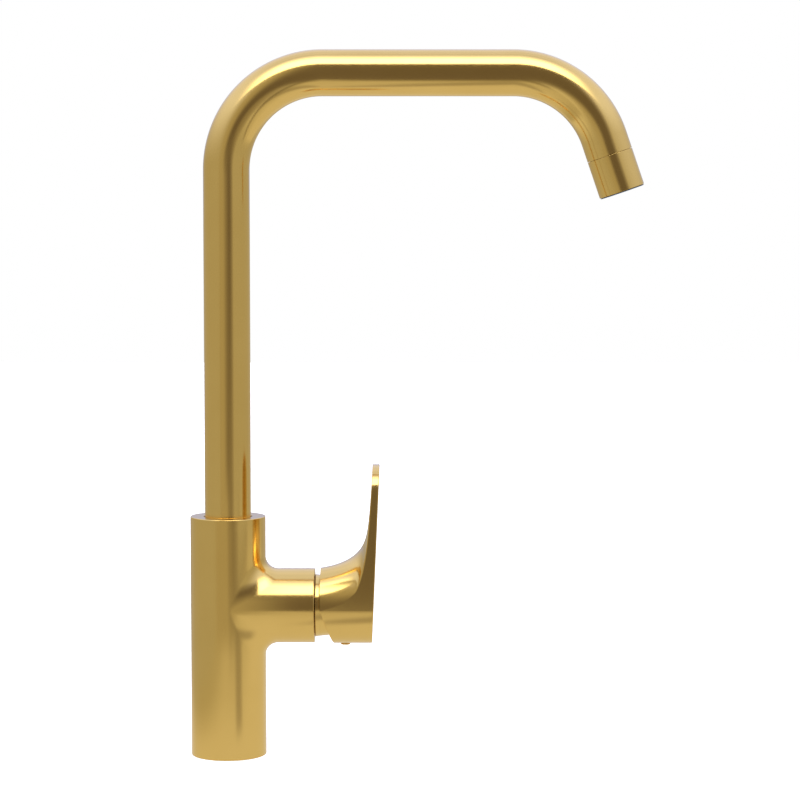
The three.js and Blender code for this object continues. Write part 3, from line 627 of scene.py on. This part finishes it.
def tip_turned(name, node, body, slot, profile, soft):
    """A turned piece on the tip's axis. Heights are distances from the end of the second bend."""
    turned_piece(name, node, body, FINISHES[slot], profile, TIP_START, TIP_AXIS, TIP_SIDE, soft=soft)


def spray_head():
    bore = 12.3
    end = OUTLET - 0.5
    start = SEAM + SEAM_HALF_GAP
    spigot = TUBE_BORE - SPIGOT_GAP
    spigot_start = SEAM - 0.5
    tip_turned("head_sleeve_skin", "head_sleeve", "spray_head", "brushed_gold",
               [(bore, spigot_start), (spigot, spigot_start), (spigot, start), (TUBE_RADIUS, start),
                (TUBE_RADIUS, end), (bore, end)], LIP_EDGE)
    tip_turned("docking_stem_skin", "docking_stem", "spray_head", "grey_plastic",
               [(HOSE_SLEEVE_BORE, -2.5), (9.4, -2.5), (9.4, 4), (8.2, 4), (8.2, 6.6), (9.4, 6.6),
                (9.4, 11.2), (12, 11.2), (12, 14), (8.2, 14), (8.2, 21), (5.9, 21), (5.9, 14.2),
                (3, 14.2), (3, 10.6), (HOSE_SLEEVE_BORE, 10.6)], 0.4)
    tip_turned("stem_o_ring_skin", "stem_o_ring", "spray_head", "black_rubber",
               [(8.5, 4.3), (9.9, 4.3), (9.9, 6.3), (8.5, 6.3)], 0.9)
    tip_turned("hose_ferrule_skin", "hose_ferrule", "spray_head", "stainless",
               [(HOSE_SLEEVE_BORE, -10), (5.6, -10), (5.6, -7.4), (6.6, -7.4), (6.6, -2.8),
                (HOSE_SLEEVE_BORE, -2.8)], 0.3)
    rim = 13.4
    rim_start, rim_end = end + 0.2, OUTLET + 0.2
    tip_turned("aerator_housing_skin", "aerator_housing", "spray_head", "grey_plastic",
               [(5, 22.6), (12, 22.6), (12, rim_start), (rim, rim_start), (rim, rim_end),
                (10.4, rim_end), (10.4, 25), (5, 25)], 0.25)
    tip_turned("docking_bush_skin", "docking_bush", "spout", "grey_plastic",
               [(10.3, 2.2), (12.5, 2.2), (12.5, SEAM - 0.6), (10.3, SEAM - 0.6)], 0.5)
    tip_turned("docking_magnet_skin", "docking_magnet", "spout", "stainless",
               [(10.3, -1.6), (12.2, -1.6), (12.2, 1.8), (10.3, 1.8)], 0.3)


def screen_cell(skin, x, y):
    """One six-sided cell of the screen, drawn in where it would pass the rim."""
    reach = SCREEN_RADIUS - 0.3
    wall = CELL_PITCH / math.sqrt(3)
    rows = []
    for radius, s in ((wall, SCREEN_LOW), (CELL_HOLE, SCREEN_LOW), (CELL_HOLE, SCREEN_HIGH),
                      (wall, SCREEN_HIGH)):
        cell = []
        for k in range(6):
            a = math.pi / 3 * k + math.pi / 6
            px, py = x + radius * math.cos(a), y + radius * math.sin(a)
            shrink = min(1.0, reach / max(math.hypot(px, py), 1e-6))
            cell.append(TIP_START + TIP_AXIS * s + TIP_SIDE * (px * shrink) + ACROSS * (py * shrink))
        rows.append(skin.row(cell))
    skin.strips(rows + rows[:1], closed=True)


def aerator_screen():
    """The outlet's honeycomb: a plate of six-sided cells inside a rim."""
    skin = Skin()
    across = range(-6, 7)
    furthest = SCREEN_RADIUS - 0.45
    for i in across:
        for j in across:
            x = CELL_PITCH * (i + j / 2)
            y = CELL_PITCH * j * math.sqrt(3) / 2
            if math.hypot(x, y) <= furthest:
                screen_cell(skin, x, y)
    inside = SCREEN_RADIUS - 0.7
    low, high = SCREEN_LOW - 0.1, SCREEN_HIGH + 0.1
    rim = [(inside, low), (SCREEN_RADIUS, low), (SCREEN_RADIUS, high), (inside, high)]
    skin.turn(softened(rim, 0.2), TIP_START, TIP_AXIS, TIP_SIDE, 72)
    screen = skin.build("aerator_screen_skin", "spray_head", GREY, sharp=30)
    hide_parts("aerator_screen")


def hose_link():
    """The last of the hose, between the spout and the spray head. It is built on the spout, then set loose
    from every body."""
    skin = Skin()
    start, end = -15.5, -3.0
    rows = []
    count = 60
    segments = 32
    for k in range(count + 1):
        s = start + (end - start) * k / count
        ring = []
        for i in range(segments):
            a = 2 * math.pi * i / segments
            out = TIP_SIDE * math.cos(a) + ACROSS * math.sin(a)
            ring.append(TIP_START + TIP_AXIS * s + out * HOSE_RADIUS)
        rows.append(skin.row(ring))
    skin.strips(rows, closed=True)
    skin.cap(rows[0], TIP_START + TIP_AXIS * start)
    skin.cap(rows[-1], TIP_START + TIP_AXIS * end)
    link = skin.build("hose_link", "spout", BRAID)
    link.parent = None
    del link["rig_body"]
    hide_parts("hose_tail")
    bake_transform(link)


# ---------------------------------------------------------------- neck, plug and handle
def dome_collar():
    foot, end = 52.4, 61.2
    turned_piece("dome_collar_skin", "dome_collar", "mixer", GOLD,
                 [(14.8, 46.5), (16.2, 46.5), (16.2, foot), (18.7, foot), (17.75, end), (11, end),
                  (11, end - 1.4), (14.8, end - 1.4)],
                 Vector((0, 0, BARREL_HEIGHT)), ALONG, ACROSS, 128, 0.5)


def screw_plug():
    low = HANDLE_FOOT - 1.2
    turned_piece("screw_plug_skin", "screw_plug", "lever", GOLD,
                 [(0, low + 0.25), (1.1, low + 0.25), (1.4, low), (2.4, low + 0.05), (3, low + 0.6),
                  (3, HANDLE_FOOT - 0.3), (2.6, HANDLE_FOOT - 0.3), (2.6, HANDLE_FOOT + 2.6),
                  (0, HANDLE_FOOT + 2.6)],
                 Vector((PLUG_X, 0, 0)), UP, ALONG, 48, 0.3)


def outline_points():
    """Half of the handle's outline seen along X, from the barrel's mid-height up the flank,
    round the corner and over the crown, as (half width, height)."""
    r = HANDLE_RADIUS
    top = HANDLE_TOP
    shoulder = (21, 157)
    crown_edge = (10, top - 1.8)
    flank = bezier([(r, BARREL_HEIGHT), (r, BARREL_HEIGHT + 22), (21.3, 135), shoulder], 400)
    corner = bezier([shoulder, (20.85, 165), (17.2, 170.6), crown_edge], 400)
    crown = bezier([crown_edge, (7, top - 0.7), (3.5, top), (0, top)], 200)
    return np.vstack([flank, corner[1:], crown[1:]])


def ridge_table():
    """The handle's upper side in its middle plane, from the mouth up into the paddle's inner
    face, as (x, height)."""
    start = (HANDLE_MOUTH, BARREL_HEIGHT + HANDLE_RADIUS)
    bend = (80.2, 125.6)
    upright = (84.2, 141.5)
    head = (86.6, 176)
    rise = bezier([start, (64, 113.9), (75, 117), bend], 300)
    turn = bezier([bend, (82.4, 129.2), (83.5, 135), upright], 300)
    face = bezier([upright, (85.2, 151.5), (86, 163), head], 200)
    past_head = (88, 206)
    return np.vstack([rise, turn[1:], face[1:], [past_head]])


def cross_radius(height):
    """How round the handle is across: as the barrel low down, flattening into the paddle."""
    round_up_to = 121
    flattening = 0.085
    climb = max(0.0, height - round_up_to)
    return HANDLE_RADIUS + flattening * climb * climb


def ridge_height(y, z):
    """Height of the ridge whose cross curve passes through a point."""
    most = 40
    halvings = 50
    low, high = z, z + most
    for _ in range(halvings):
        middle = (low + high) / 2
        radius = cross_radius(middle)
        drop = radius - math.sqrt(max(radius * radius - y * y, 0))
        if middle - drop < z:
            low = middle
        else:
            high = middle
    return (low + high) / 2


def outer_face_x(z):
    share = (z - HANDLE_FOOT) / (HANDLE_TOP - HANDLE_FOOT)
    return OUTER_FACE_FOOT + (OUTER_FACE_HEAD - OUTER_FACE_FOOT) * share


def mouth_x(z):
    """The mouth's plane: upright above, cut on the skew below."""
    below = max(0.0, SKEW_TOP - z)
    return HANDLE_MOUTH + below * (SKEW_FOOT - HANDLE_MOUTH) / (SKEW_TOP - HANDLE_FOOT)


class Crease:
    """The line where the flank meets the handle's upper side, from the mouth to the crown, with
    what is needed on each side of it. One half only: the other is its mirror image."""

    def __init__(self, pitch=0.9):
        ridge = ridge_table()
        outline = outline_points()
        heights = np.array([ridge_height(y, z) for y, z in outline])
        heights = np.maximum.accumulate(heights)
        xs = np.interp(heights, ridge[:, 1], ridge[:, 0])
        line = np.column_stack([xs, outline])
        steps = np.linalg.norm(np.diff(line, axis=0), axis=1)
        length = np.concatenate([[0], np.cumsum(steps)])
        count = int(length[-1] / pitch)
        at = np.linspace(0, length[-1], count + 1)
        self.line = np.column_stack([np.interp(at, length, line[:, k]) for k in range(3)])
        tangent = np.gradient(self.line, axis=0)
        tangent /= np.linalg.norm(tangent, axis=1)[:, None]
        self.ridge = ridge
        growth = 14  # points over which the rounded edge grows from the mouth
        self.inset, self.edge, self.outward = [], [], []
        for j, (point, along) in enumerate(zip(self.line, tangent)):
            edge = CREASE_EDGE * min(1.0, j / growth) ** 2
            outward = Vector((0, along[2], -along[1])).normalized()
            normal = self.upper_normal(point)
            inward = normal.cross(Vector(along)).normalized()
            if inward.dot(outward) > 0:
                inward = -inward
            self.inset.append(Vector(point) + inward * edge)
            self.edge.append(edge)
            self.outward.append(outward)
        self.outward[-1] = UP
        self.inset[-1] = Vector(self.line[-1]) - Vector((0, 0, self.edge[-1]))

    def ridge_x(self, height):
        return float(np.interp(height, self.ridge[:, 1], self.ridge[:, 0]))

    def upper_normal(self, point):
        """Normal of the upper side at a point of it."""
        _, y, z = point
        height = ridge_height(y, z)
        step = 0.2
        slope = (self.ridge_x(height + step) - self.ridge_x(height - step)) / (2 * step)
        radius = cross_radius(height)
        fall = y / math.sqrt(max(radius * radius - y * y, 1e-3))
        return Vector((-1, slope * fall, slope)).normalized()

    def cross_row(self, inset, count):
        """The upper side's cross curve from one crease to the other, at an inset point."""
        height = ridge_height(inset.y, inset.z)
        radius = cross_radius(height)
        x = self.ridge_x(height)
        half = math.asin(min(1.0, max(0.0, inset.y) / radius))
        points = []
        for k in range(count + 1):
            a = half * (1 - 2 * k / count)
            points.append(Vector((x, radius * math.sin(a), height - radius + radius * math.cos(a))))
        points[0] = inset
        points[-1] = mirrored([inset])[0]
        return points


def mirrored(points):
    return [Vector((p[0], -p[1], p[2])) for p in points]


def at_x(point, x):
    return Vector((x, point.y, point.z))


def from_barrel_axis(point):
    """Direction of a point seen from the barrel's axis."""
    return Vector((0, point.y, point.z - BARREL_HEIGHT)).normalized()


def handle_underside():
    """Points round under the barrel from the right flank to the left one, the flanks left out."""
    steps = 72
    angles = [math.pi * k / steps for k in range(1, steps)]
    return [Vector((0, HANDLE_RADIUS * math.cos(a), BARREL_HEIGHT - HANDLE_RADIUS * math.sin(a)))
            for a in angles]


class Perimeter:
    """The handle's outline seen along X, as a loop down the right flank, round under the barrel and
    up the left flank, with the way out and the inner edge of the flank at each point."""

    def __init__(self, crease, line, below):
        right = line[::-1]
        left = mirrored(line)[:-1]
        self.points = right + below + left
        self.outward = (crease.outward[::-1] + [from_barrel_axis(p) for p in below]
                        + mirrored(crease.outward)[:-1])
        self.inner_x = [p.x for p in right] + [mouth_x(p.z) for p in below] + [p.x for p in left]
        self.inner_edge = crease.edge[::-1] + [MOUTH_EDGE] * len(below) + crease.edge[:-1]


def handle_flank(skin, rim):
    """The outside between the two edges. Returns its start, as points and as a row."""
    steps = 12
    start = [at_x(p, outer_face_x(p.z) - FACE_EDGE) for p in rim.points]
    end = [at_x(p, x + e) for p, x, e in zip(rim.points, rim.inner_x, rim.inner_edge)]
    rows = [skin.row([s.lerp(e, k / steps) for s, e in zip(start, end)]) for k in range(steps + 1)]
    skin.strips(rows, closed=True)
    return start, rows[0]


def handle_outer_face(skin, rim, start, first_row):
    """The rounded edge to the outer face, and the face itself as rungs from flank to flank."""
    steps = 12
    corner = [at_x(p, outer_face_x(p.z)) for p in rim.points]
    inset = [p - n * FACE_EDGE for p, n in zip(rim.points, rim.outward)]
    inset = [at_x(p, outer_face_x(p.z)) for p in inset]
    rounds = [skin.row(corner_row(start, corner, inset, k / 4)) for k in range(1, 5)]
    skin.strips([first_row] + rounds, closed=True)
    face = rounds[-1]
    half = len(face) // 2
    rungs = []
    for i in range(1, half):
        a, b = Vector(skin.points[face[i]]), Vector(skin.points[face[-i]])
        rungs.append([face[i]] + skin.row([a.lerp(b, k / steps) for k in range(1, steps)]) + [face[-i]])
    skin.strips(rungs)
    for end, rung in ((face[0], rungs[0]), (face[half], rungs[-1])):
        for a, b in zip(rung, rung[1:]):
            skin.faces.append((end, a, b))


def handle_creases(skin, crease, line):
    """The rounded crease on each side, from the flank to the upper side."""
    start = [at_x(p, p.x + e) for p, e in zip(line, crease.edge)]
    for loops in ((start, line, crease.inset), tuple(map(mirrored, (start, line, crease.inset)))):
        skin.strips([skin.row(corner_row(*loops, k / 4)) for k in range(5)])


def handle_mouth(skin, below, upper):
    """The mouth: a rounded edge, the wall's end, the cavity and its floor."""
    directions = [from_barrel_axis(p) for p in below + upper[::-1]]

    def mouth_row(radius, x=None, shift=0.0):
        points = []
        for n in directions:
            y, z = n.y * radius, BARREL_HEIGHT + n.z * radius
            points.append(Vector(((mouth_x(z) if x is None else x) + shift, y, z)))
        return points

    outside = mouth_row(HANDLE_RADIUS, shift=MOUTH_EDGE)
    edge = mouth_row(HANDLE_RADIUS)
    wall_end = mouth_row(HANDLE_RADIUS - MOUTH_EDGE)
    rows = [skin.row(corner_row(outside, edge, wall_end, k / 3)) for k in range(4)]
    rows.append(skin.row(mouth_row(CAVITY_RADIUS)))
    rows.append(skin.row(mouth_row(CAVITY_RADIUS, CAVITY_END)))
    skin.strips(rows, closed=True)
    skin.cap(rows[-1], Vector((CAVITY_END, 0, BARREL_HEIGHT)))


def handle_boss(skin):
    """The boss in the cavity that takes the lever's stem."""
    bevel = 0.4
    end = CAVITY_END - 0.2
    skin.turn([(BOSS_BORE, BOSS_START), (BOSS_RADIUS - bevel, BOSS_START),
               (BOSS_RADIUS, BOSS_START + bevel), (BOSS_RADIUS, end), (BOSS_BORE, end)],
              Vector((0, 0, BARREL_HEIGHT)), ALONG, ACROSS, 48)


def handle():
    across = 48
    skin = Skin()
    crease = Crease()
    line = [Vector(p) for p in crease.line]
    below = handle_underside()
    rim = Perimeter(crease, line, below)
    skin.strips([skin.row(crease.cross_row(inset, across)) for inset in crease.inset])
    start, first_row = handle_flank(skin, rim)
    handle_outer_face(skin, rim, start, first_row)
    handle_creases(skin, crease, line)
    handle_mouth(skin, below, crease.cross_row(crease.inset[0], across))
    handle_boss(skin)
    obj = skin.build("handle_skin", "lever", GOLD)
    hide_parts("handle")


# ---------------------------------------------------------------- foot fittings
def foot_fittings():
    low, high = box_mm("base_gasket")
    bore, radius = 18.9, 20.3
    turned_piece("base_gasket_skin", "base_gasket", "mixer", RUBBER,
                 [(bore, low.z), (radius, low.z), (radius, high.z), (bore, high.z)],
                 Vector(), UP, ALONG, 96, 0.3)
    for name, bore in (("hot_inlet_bush", 3.6), ("cold_inlet_bush", 3.6), ("mixed_outlet_nipple", 3.1)):
        low, high = box_mm(name)
        centre = (low + high) / 2
        radius = (high.x - low.x) / 2
        turned_piece(f"{name}_skin", name, "mixer", BRASS,
                     [(bore, low.z), (radius, low.z), (radius, high.z), (bore, high.z)],
                     Vector((centre.x, centre.y, 0)), UP, ALONG, 48, 0.3)


# ---------------------------------------------------------------- stage, camera and light
class Shading:
    """Builds a value out of shader nodes."""

    def __init__(self, tree):
        self.nodes = tree.nodes
        self.links = tree.links

    def math(self, operation, a, b=0.0):
        node = self.nodes.new("ShaderNodeMath")
        node.operation = operation
        for socket, value in zip(node.inputs, (a, b)):
            if isinstance(value, (int, float)):
                socket.default_value = value
            else:
                self.links.new(value, socket)
        return node.outputs[0]

    def smooth(self, value, low, high):
        """0 at low, 1 at high, eased between."""
        return self.slope(value, low, high, "SMOOTHSTEP")

    def slope(self, value, low, high, interpolation="LINEAR"):
        """0 at low, 1 at high, on a straight line between."""
        node = self.nodes.new("ShaderNodeMapRange")
        node.interpolation_type = interpolation
        node.inputs["From Min"].default_value = low
        node.inputs["From Max"].default_value = high
        self.links.new(value, node.inputs["Value"])
        return node.outputs["Result"]

    def both(self, a, b):
        return self.math("MULTIPLY", a, b)

    def between(self, value, low, high, ease):
        """1 between low and high, eased to 0 inside them."""
        return self.both(self.smooth(value, low, low + ease), self.smooth(value, high, high - ease))

    def degrees(self, operation, a, b=0.0):
        return self.math("MULTIPLY", self.math(operation, a, b), 180 / math.pi)

    def levels(self, value, high, stops):
        """Grey levels on straight lines through stops of (place, level), between 0 and high."""
        ramp = self.nodes.new("ShaderNodeValToRGB")
        self.links.new(self.math("DIVIDE", value, high), ramp.inputs["Fac"])
        elements = ramp.color_ramp.elements
        elements[0].position = stops[0][0] / high
        elements[1].position = stops[-1][0] / high
        for place, _ in stops[1:-1]:
            elements.new(place / high)
        for element, (_, level) in zip(elements, stops):
            element.color = (level, level, level, 1)
        return ramp.outputs["Color"]

    def tint(self, colour, filter_colour):
        node = self.nodes.new("ShaderNodeVectorMath")
        node.operation = "MULTIPLY"
        self.links.new(colour, node.inputs[0])
        self.links.new(filter_colour, node.inputs[1])
        return node.outputs["Vector"]

    def mix(self, share, a, b):
        node = self.nodes.new("ShaderNodeMix")
        node.data_type = "RGBA"
        self.links.new(share, node.inputs["Factor"])
        for name, value in (("A", a), ("B", b)):
            socket = next(i for i in node.inputs if i.name == name and i.type == "RGBA")
            if isinstance(value, tuple):
                socket.default_value = (*value, 1)
            else:
                self.links.new(value, socket)
        return next(o for o in node.outputs if o.type == "RGBA")

    def axes(self, output):
        """X, Y and Z of a texture coordinate."""
        coordinates = self.nodes.new("ShaderNodeTexCoord")
        split = self.nodes.new("ShaderNodeSeparateXYZ")
        self.links.new(coordinates.outputs[output], split.inputs["Vector"])
        return [split.outputs[k] for k in "XYZ"]


# the camera's place and lens
CAMERA_PLACE = (0.103, -1.492, 0.3239)
CAMERA_DIP = 4.23  # degrees below level
LENS = 112.8
SENSOR = 36

# what the metal mirrors
ROOM = (0.465, 0.435, 0.36)
ROOM_RIGHT = (0.54, 0.51, 0.43)
ROOM_SIDES = (0.5, 0.49, 0.45)
DARK = (0.165, 0.14, 0.125)
PALE = (0.78, 0.77, 0.74)
GROUND = (0.74, 0.72, 0.68)
GROUND_AHEAD = (0.65, 0.63, 0.57)
GROUND_EDGE = (0.27, 0.245, 0.2)
GROUND_LEFT = (0.52, 0.5, 0.43)
NEUTRAL = (1.0, 1.0, 1.0)
COOL = (0.93, 1.0, 1.42)

# degrees, each from nothing to full: turn is from straight ahead to the right, elevation is above
# level, and climb goes from straight ahead over the top and down behind
WINDOW_LEFT = (-18.0, -2.0)
WINDOW_RIGHT = (36.0, 33.0)
WINDOW_FADE_TURN = (6.0, 14.0)
WINDOW_FADE_DOWN = (0.0, -9.0)
WINDOW_FADE = 0.5
RIGHT_TURN = (33.0, 37.0)
PALE_DOWN = (-12.0, -36.0)
LIGHT_FOOT = (40.7, 42.3)
COOL_CLIMB = (66.0, 84.0)
COOL_SIDES = (2.0, 38.0)
SIDEWAYS = (0.3, 0.72)  # the share of a direction that points to either side
WEDGE = (18.0, 48.0, 12.0)  # the dark wedge on the ground: two turns, and how far it eases in
WEDGE_SHARE = 0.5
# brightness of the light and the ceiling, as (climb, level)
OVERHEAD = [(0, 3.8), (68, 3.8), (72, 2.6), (80, 1.5), (87, 1.15), (95, 0.75), (103, 0.95), (114, 0.88),
            (125, 1.0), (138, 0.9), (146, 0.98), (160, 0.8), (178, 0.5)]


def camera():
    data = bpy.data.cameras.new("camera")
    data.lens = LENS
    data.sensor_width = SENSOR
    obj = bpy.data.objects.new("camera", data)
    obj.location = CAMERA_PLACE
    obj.rotation_euler = (math.radians(90 - CAMERA_DIP), 0, 0)
    bpy.context.scene.collection.objects.link(obj)
    bpy.context.scene.camera = obj


def sheet(name, corners):
    mesh = bpy.data.meshes.new(name)
    mesh.from_pydata(corners, [], [(0, 1, 2, 3)])
    obj = bpy.data.objects.new(name, mesh)
    bpy.context.scene.collection.objects.link(obj)
    return obj


def floor():
    """A white floor that the camera sees. The metal mirrors mirrored_ground in its place."""
    z = -0.0002
    left, right, front, back = -3, 3, -3, 4
    obj = sheet("floor", [(left, front, z), (right, front, z), (right, back, z), (left, back, z)])
    material, nodes, links = new_material("white_floor")
    shader = nodes["Principled BSDF"]
    shader.inputs["Base Color"].default_value = (0.85, 0.85, 0.85, 1)
    shader.inputs["Roughness"].default_value = 0.9
    shader.inputs["Specular IOR Level"].default_value = 0.0
    shader.inputs["Emission Color"].default_value = (1, 1, 1, 1)
    shader.inputs["Emission Strength"].default_value = 0.55
    obj.data.materials.append(material)
    obj.visible_glossy = False


def seen_in_metal(obj):
    """Hides a sheet from the camera, and keeps it from lighting or shading anything but gloss."""
    obj.visible_camera = False
    obj.visible_diffuse = False
    obj.visible_shadow = False


def glow(nodes, links, colour, share=None):
    """Makes a material that only glows. Where a share is given, the rest is clear."""
    emission = nodes.new("ShaderNodeEmission")
    links.new(colour, emission.inputs["Color"])
    result = emission.outputs["Emission"]
    if share is not None:
        clear = nodes.new("ShaderNodeBsdfTransparent")
        blend = nodes.new("ShaderNodeMixShader")
        links.new(share, blend.inputs[0])
        links.new(clear.outputs[0], blend.inputs[1])
        links.new(result, blend.inputs[2])
        result = blend.outputs[0]
    links.new(result, nodes["Material Output"].inputs["Surface"])
    nodes.remove(nodes["Principled BSDF"])


def mirrored_ground():
    """A pale patch of ground that only the metal sees: darker at its front edge, to the left and in a
    wedge ahead and to the right."""
    z = -0.0001
    left, right, front, back = -0.25, 1.0, -0.56, 0.5
    obj = sheet("mirrored_ground", [(left, front, z), (right, front, z), (right, back, z), (left, back, z)])
    material, nodes, links = new_material("mirrored_ground")
    s = Shading(material.node_tree)
    x, y, _ = s.axes("Object")
    turn = s.degrees("ARCTAN2", x, s.math("MULTIPLY", y, -1.0))
    wedge = s.both(s.between(turn, *WEDGE), s.smooth(y, -0.06, -0.12))
    edge = s.both(s.smooth(y, -0.36, -0.5), s.smooth(x, 0.02, 0.06))
    colour = s.mix(s.smooth(y, -0.05, -0.3), GROUND, GROUND_AHEAD)
    colour = s.mix(edge, colour, GROUND_EDGE)
    colour = s.mix(s.both(wedge, WEDGE_SHARE), colour, DARK)
    colour = s.mix(s.smooth(x, -0.02, -0.2), colour, GROUND_LEFT)
    glow(nodes, links, colour)
    obj.data.materials.append(material)
    seen_in_metal(obj)


def panel():
    """A dim panel that only the metal sees, close in front of the column and the riser. It fades to
    the right and at its ends."""
    y = -0.12
    left, right, foot, head = -0.08, 0.036, 0.04, 0.375
    column_top, riser_start = 0.13, 0.17
    obj = sheet("panel", [(left, y, foot), (right, y, foot), (right, y, head), (left, y, head)])
    material, nodes, links = new_material("panel")
    s = Shading(material.node_tree)
    x, _, z = s.axes("Object")
    along_riser = s.both(s.slope(x, 0.03, -0.035), s.smooth(z, column_top, riser_start))
    along_column = s.both(s.slope(x, right, 0.0), s.smooth(z, riser_start, column_top))
    share = s.math("ADD", along_riser, along_column)
    share = s.both(share, s.smooth(z, foot, 0.065))
    share = s.both(share, s.smooth(z, head, 0.345))
    share = s.both(share, s.smooth(x, left, -0.05))
    colour = nodes.new("ShaderNodeRGB")
    colour.outputs[0].default_value = (*ROOM, 1)
    glow(nodes, links, colour.outputs[0], share)
    obj.data.materials.append(material)
    seen_in_metal(obj)


def studio():
    """White for the camera. In the metal: a soft light above the camera, a dark window below it and
    a little to its right, a dim room round them, pale overhead, behind and below."""
    world = bpy.data.worlds.new("studio")
    bpy.context.scene.world = world
    world.use_nodes = True
    w = Shading(world.node_tree)
    x, y, z = w.axes("Generated")
    front = w.math("MULTIPLY", y, -1.0)
    elevation = w.degrees("ARCSINE", z)
    climb = w.degrees("ARCTAN2", z, front)
    turn = w.degrees("ARCTAN2", x, front)

    fade = w.both(w.smooth(turn, *WINDOW_FADE_TURN), w.smooth(elevation, *WINDOW_FADE_DOWN))
    window = w.both(w.smooth(turn, *WINDOW_LEFT), w.smooth(turn, *WINDOW_RIGHT))
    window = w.both(window, w.math("SUBTRACT", 1.0, w.both(fade, WINDOW_FADE)))
    room = w.mix(w.smooth(turn, *RIGHT_TURN), ROOM, ROOM_RIGHT)
    room = w.mix(w.smooth(elevation, *PALE_DOWN), room, PALE)
    room = w.mix(window, room, DARK)

    overhead = w.levels(climb, 180.0, OVERHEAD)
    overhead = w.tint(overhead, w.mix(w.smooth(climb, *COOL_CLIMB), NEUTRAL, COOL))
    middle = w.mix(w.smooth(climb, *LIGHT_FOOT), room, overhead)
    side = w.mix(w.smooth(elevation, *COOL_SIDES), ROOM_SIDES, COOL)
    side = w.mix(w.smooth(elevation, *PALE_DOWN), side, PALE)
    colour = w.mix(w.smooth(w.math("ABSOLUTE", x), *SIDEWAYS), middle, side)

    light_path = w.nodes.new("ShaderNodeLightPath")
    colour = w.mix(light_path.outputs["Is Camera Ray"], colour, (1, 1, 1))
    background = w.nodes["Background"]
    w.links.new(colour, background.inputs["Color"])
    background.inputs["Strength"].default_value = 1.0


def main():
    finish_cad_nodes()
    mixer_body()
    spout_tube()
    spray_head()
    aerator_screen()
    hose_link()
    dome_collar()
    screw_plug()
    handle()
    foot_fittings()
    camera()
    floor()
    mirrored_ground()
    panel()
    studio()
    bpy.context.scene.view_settings.view_transform = "Standard"


main()
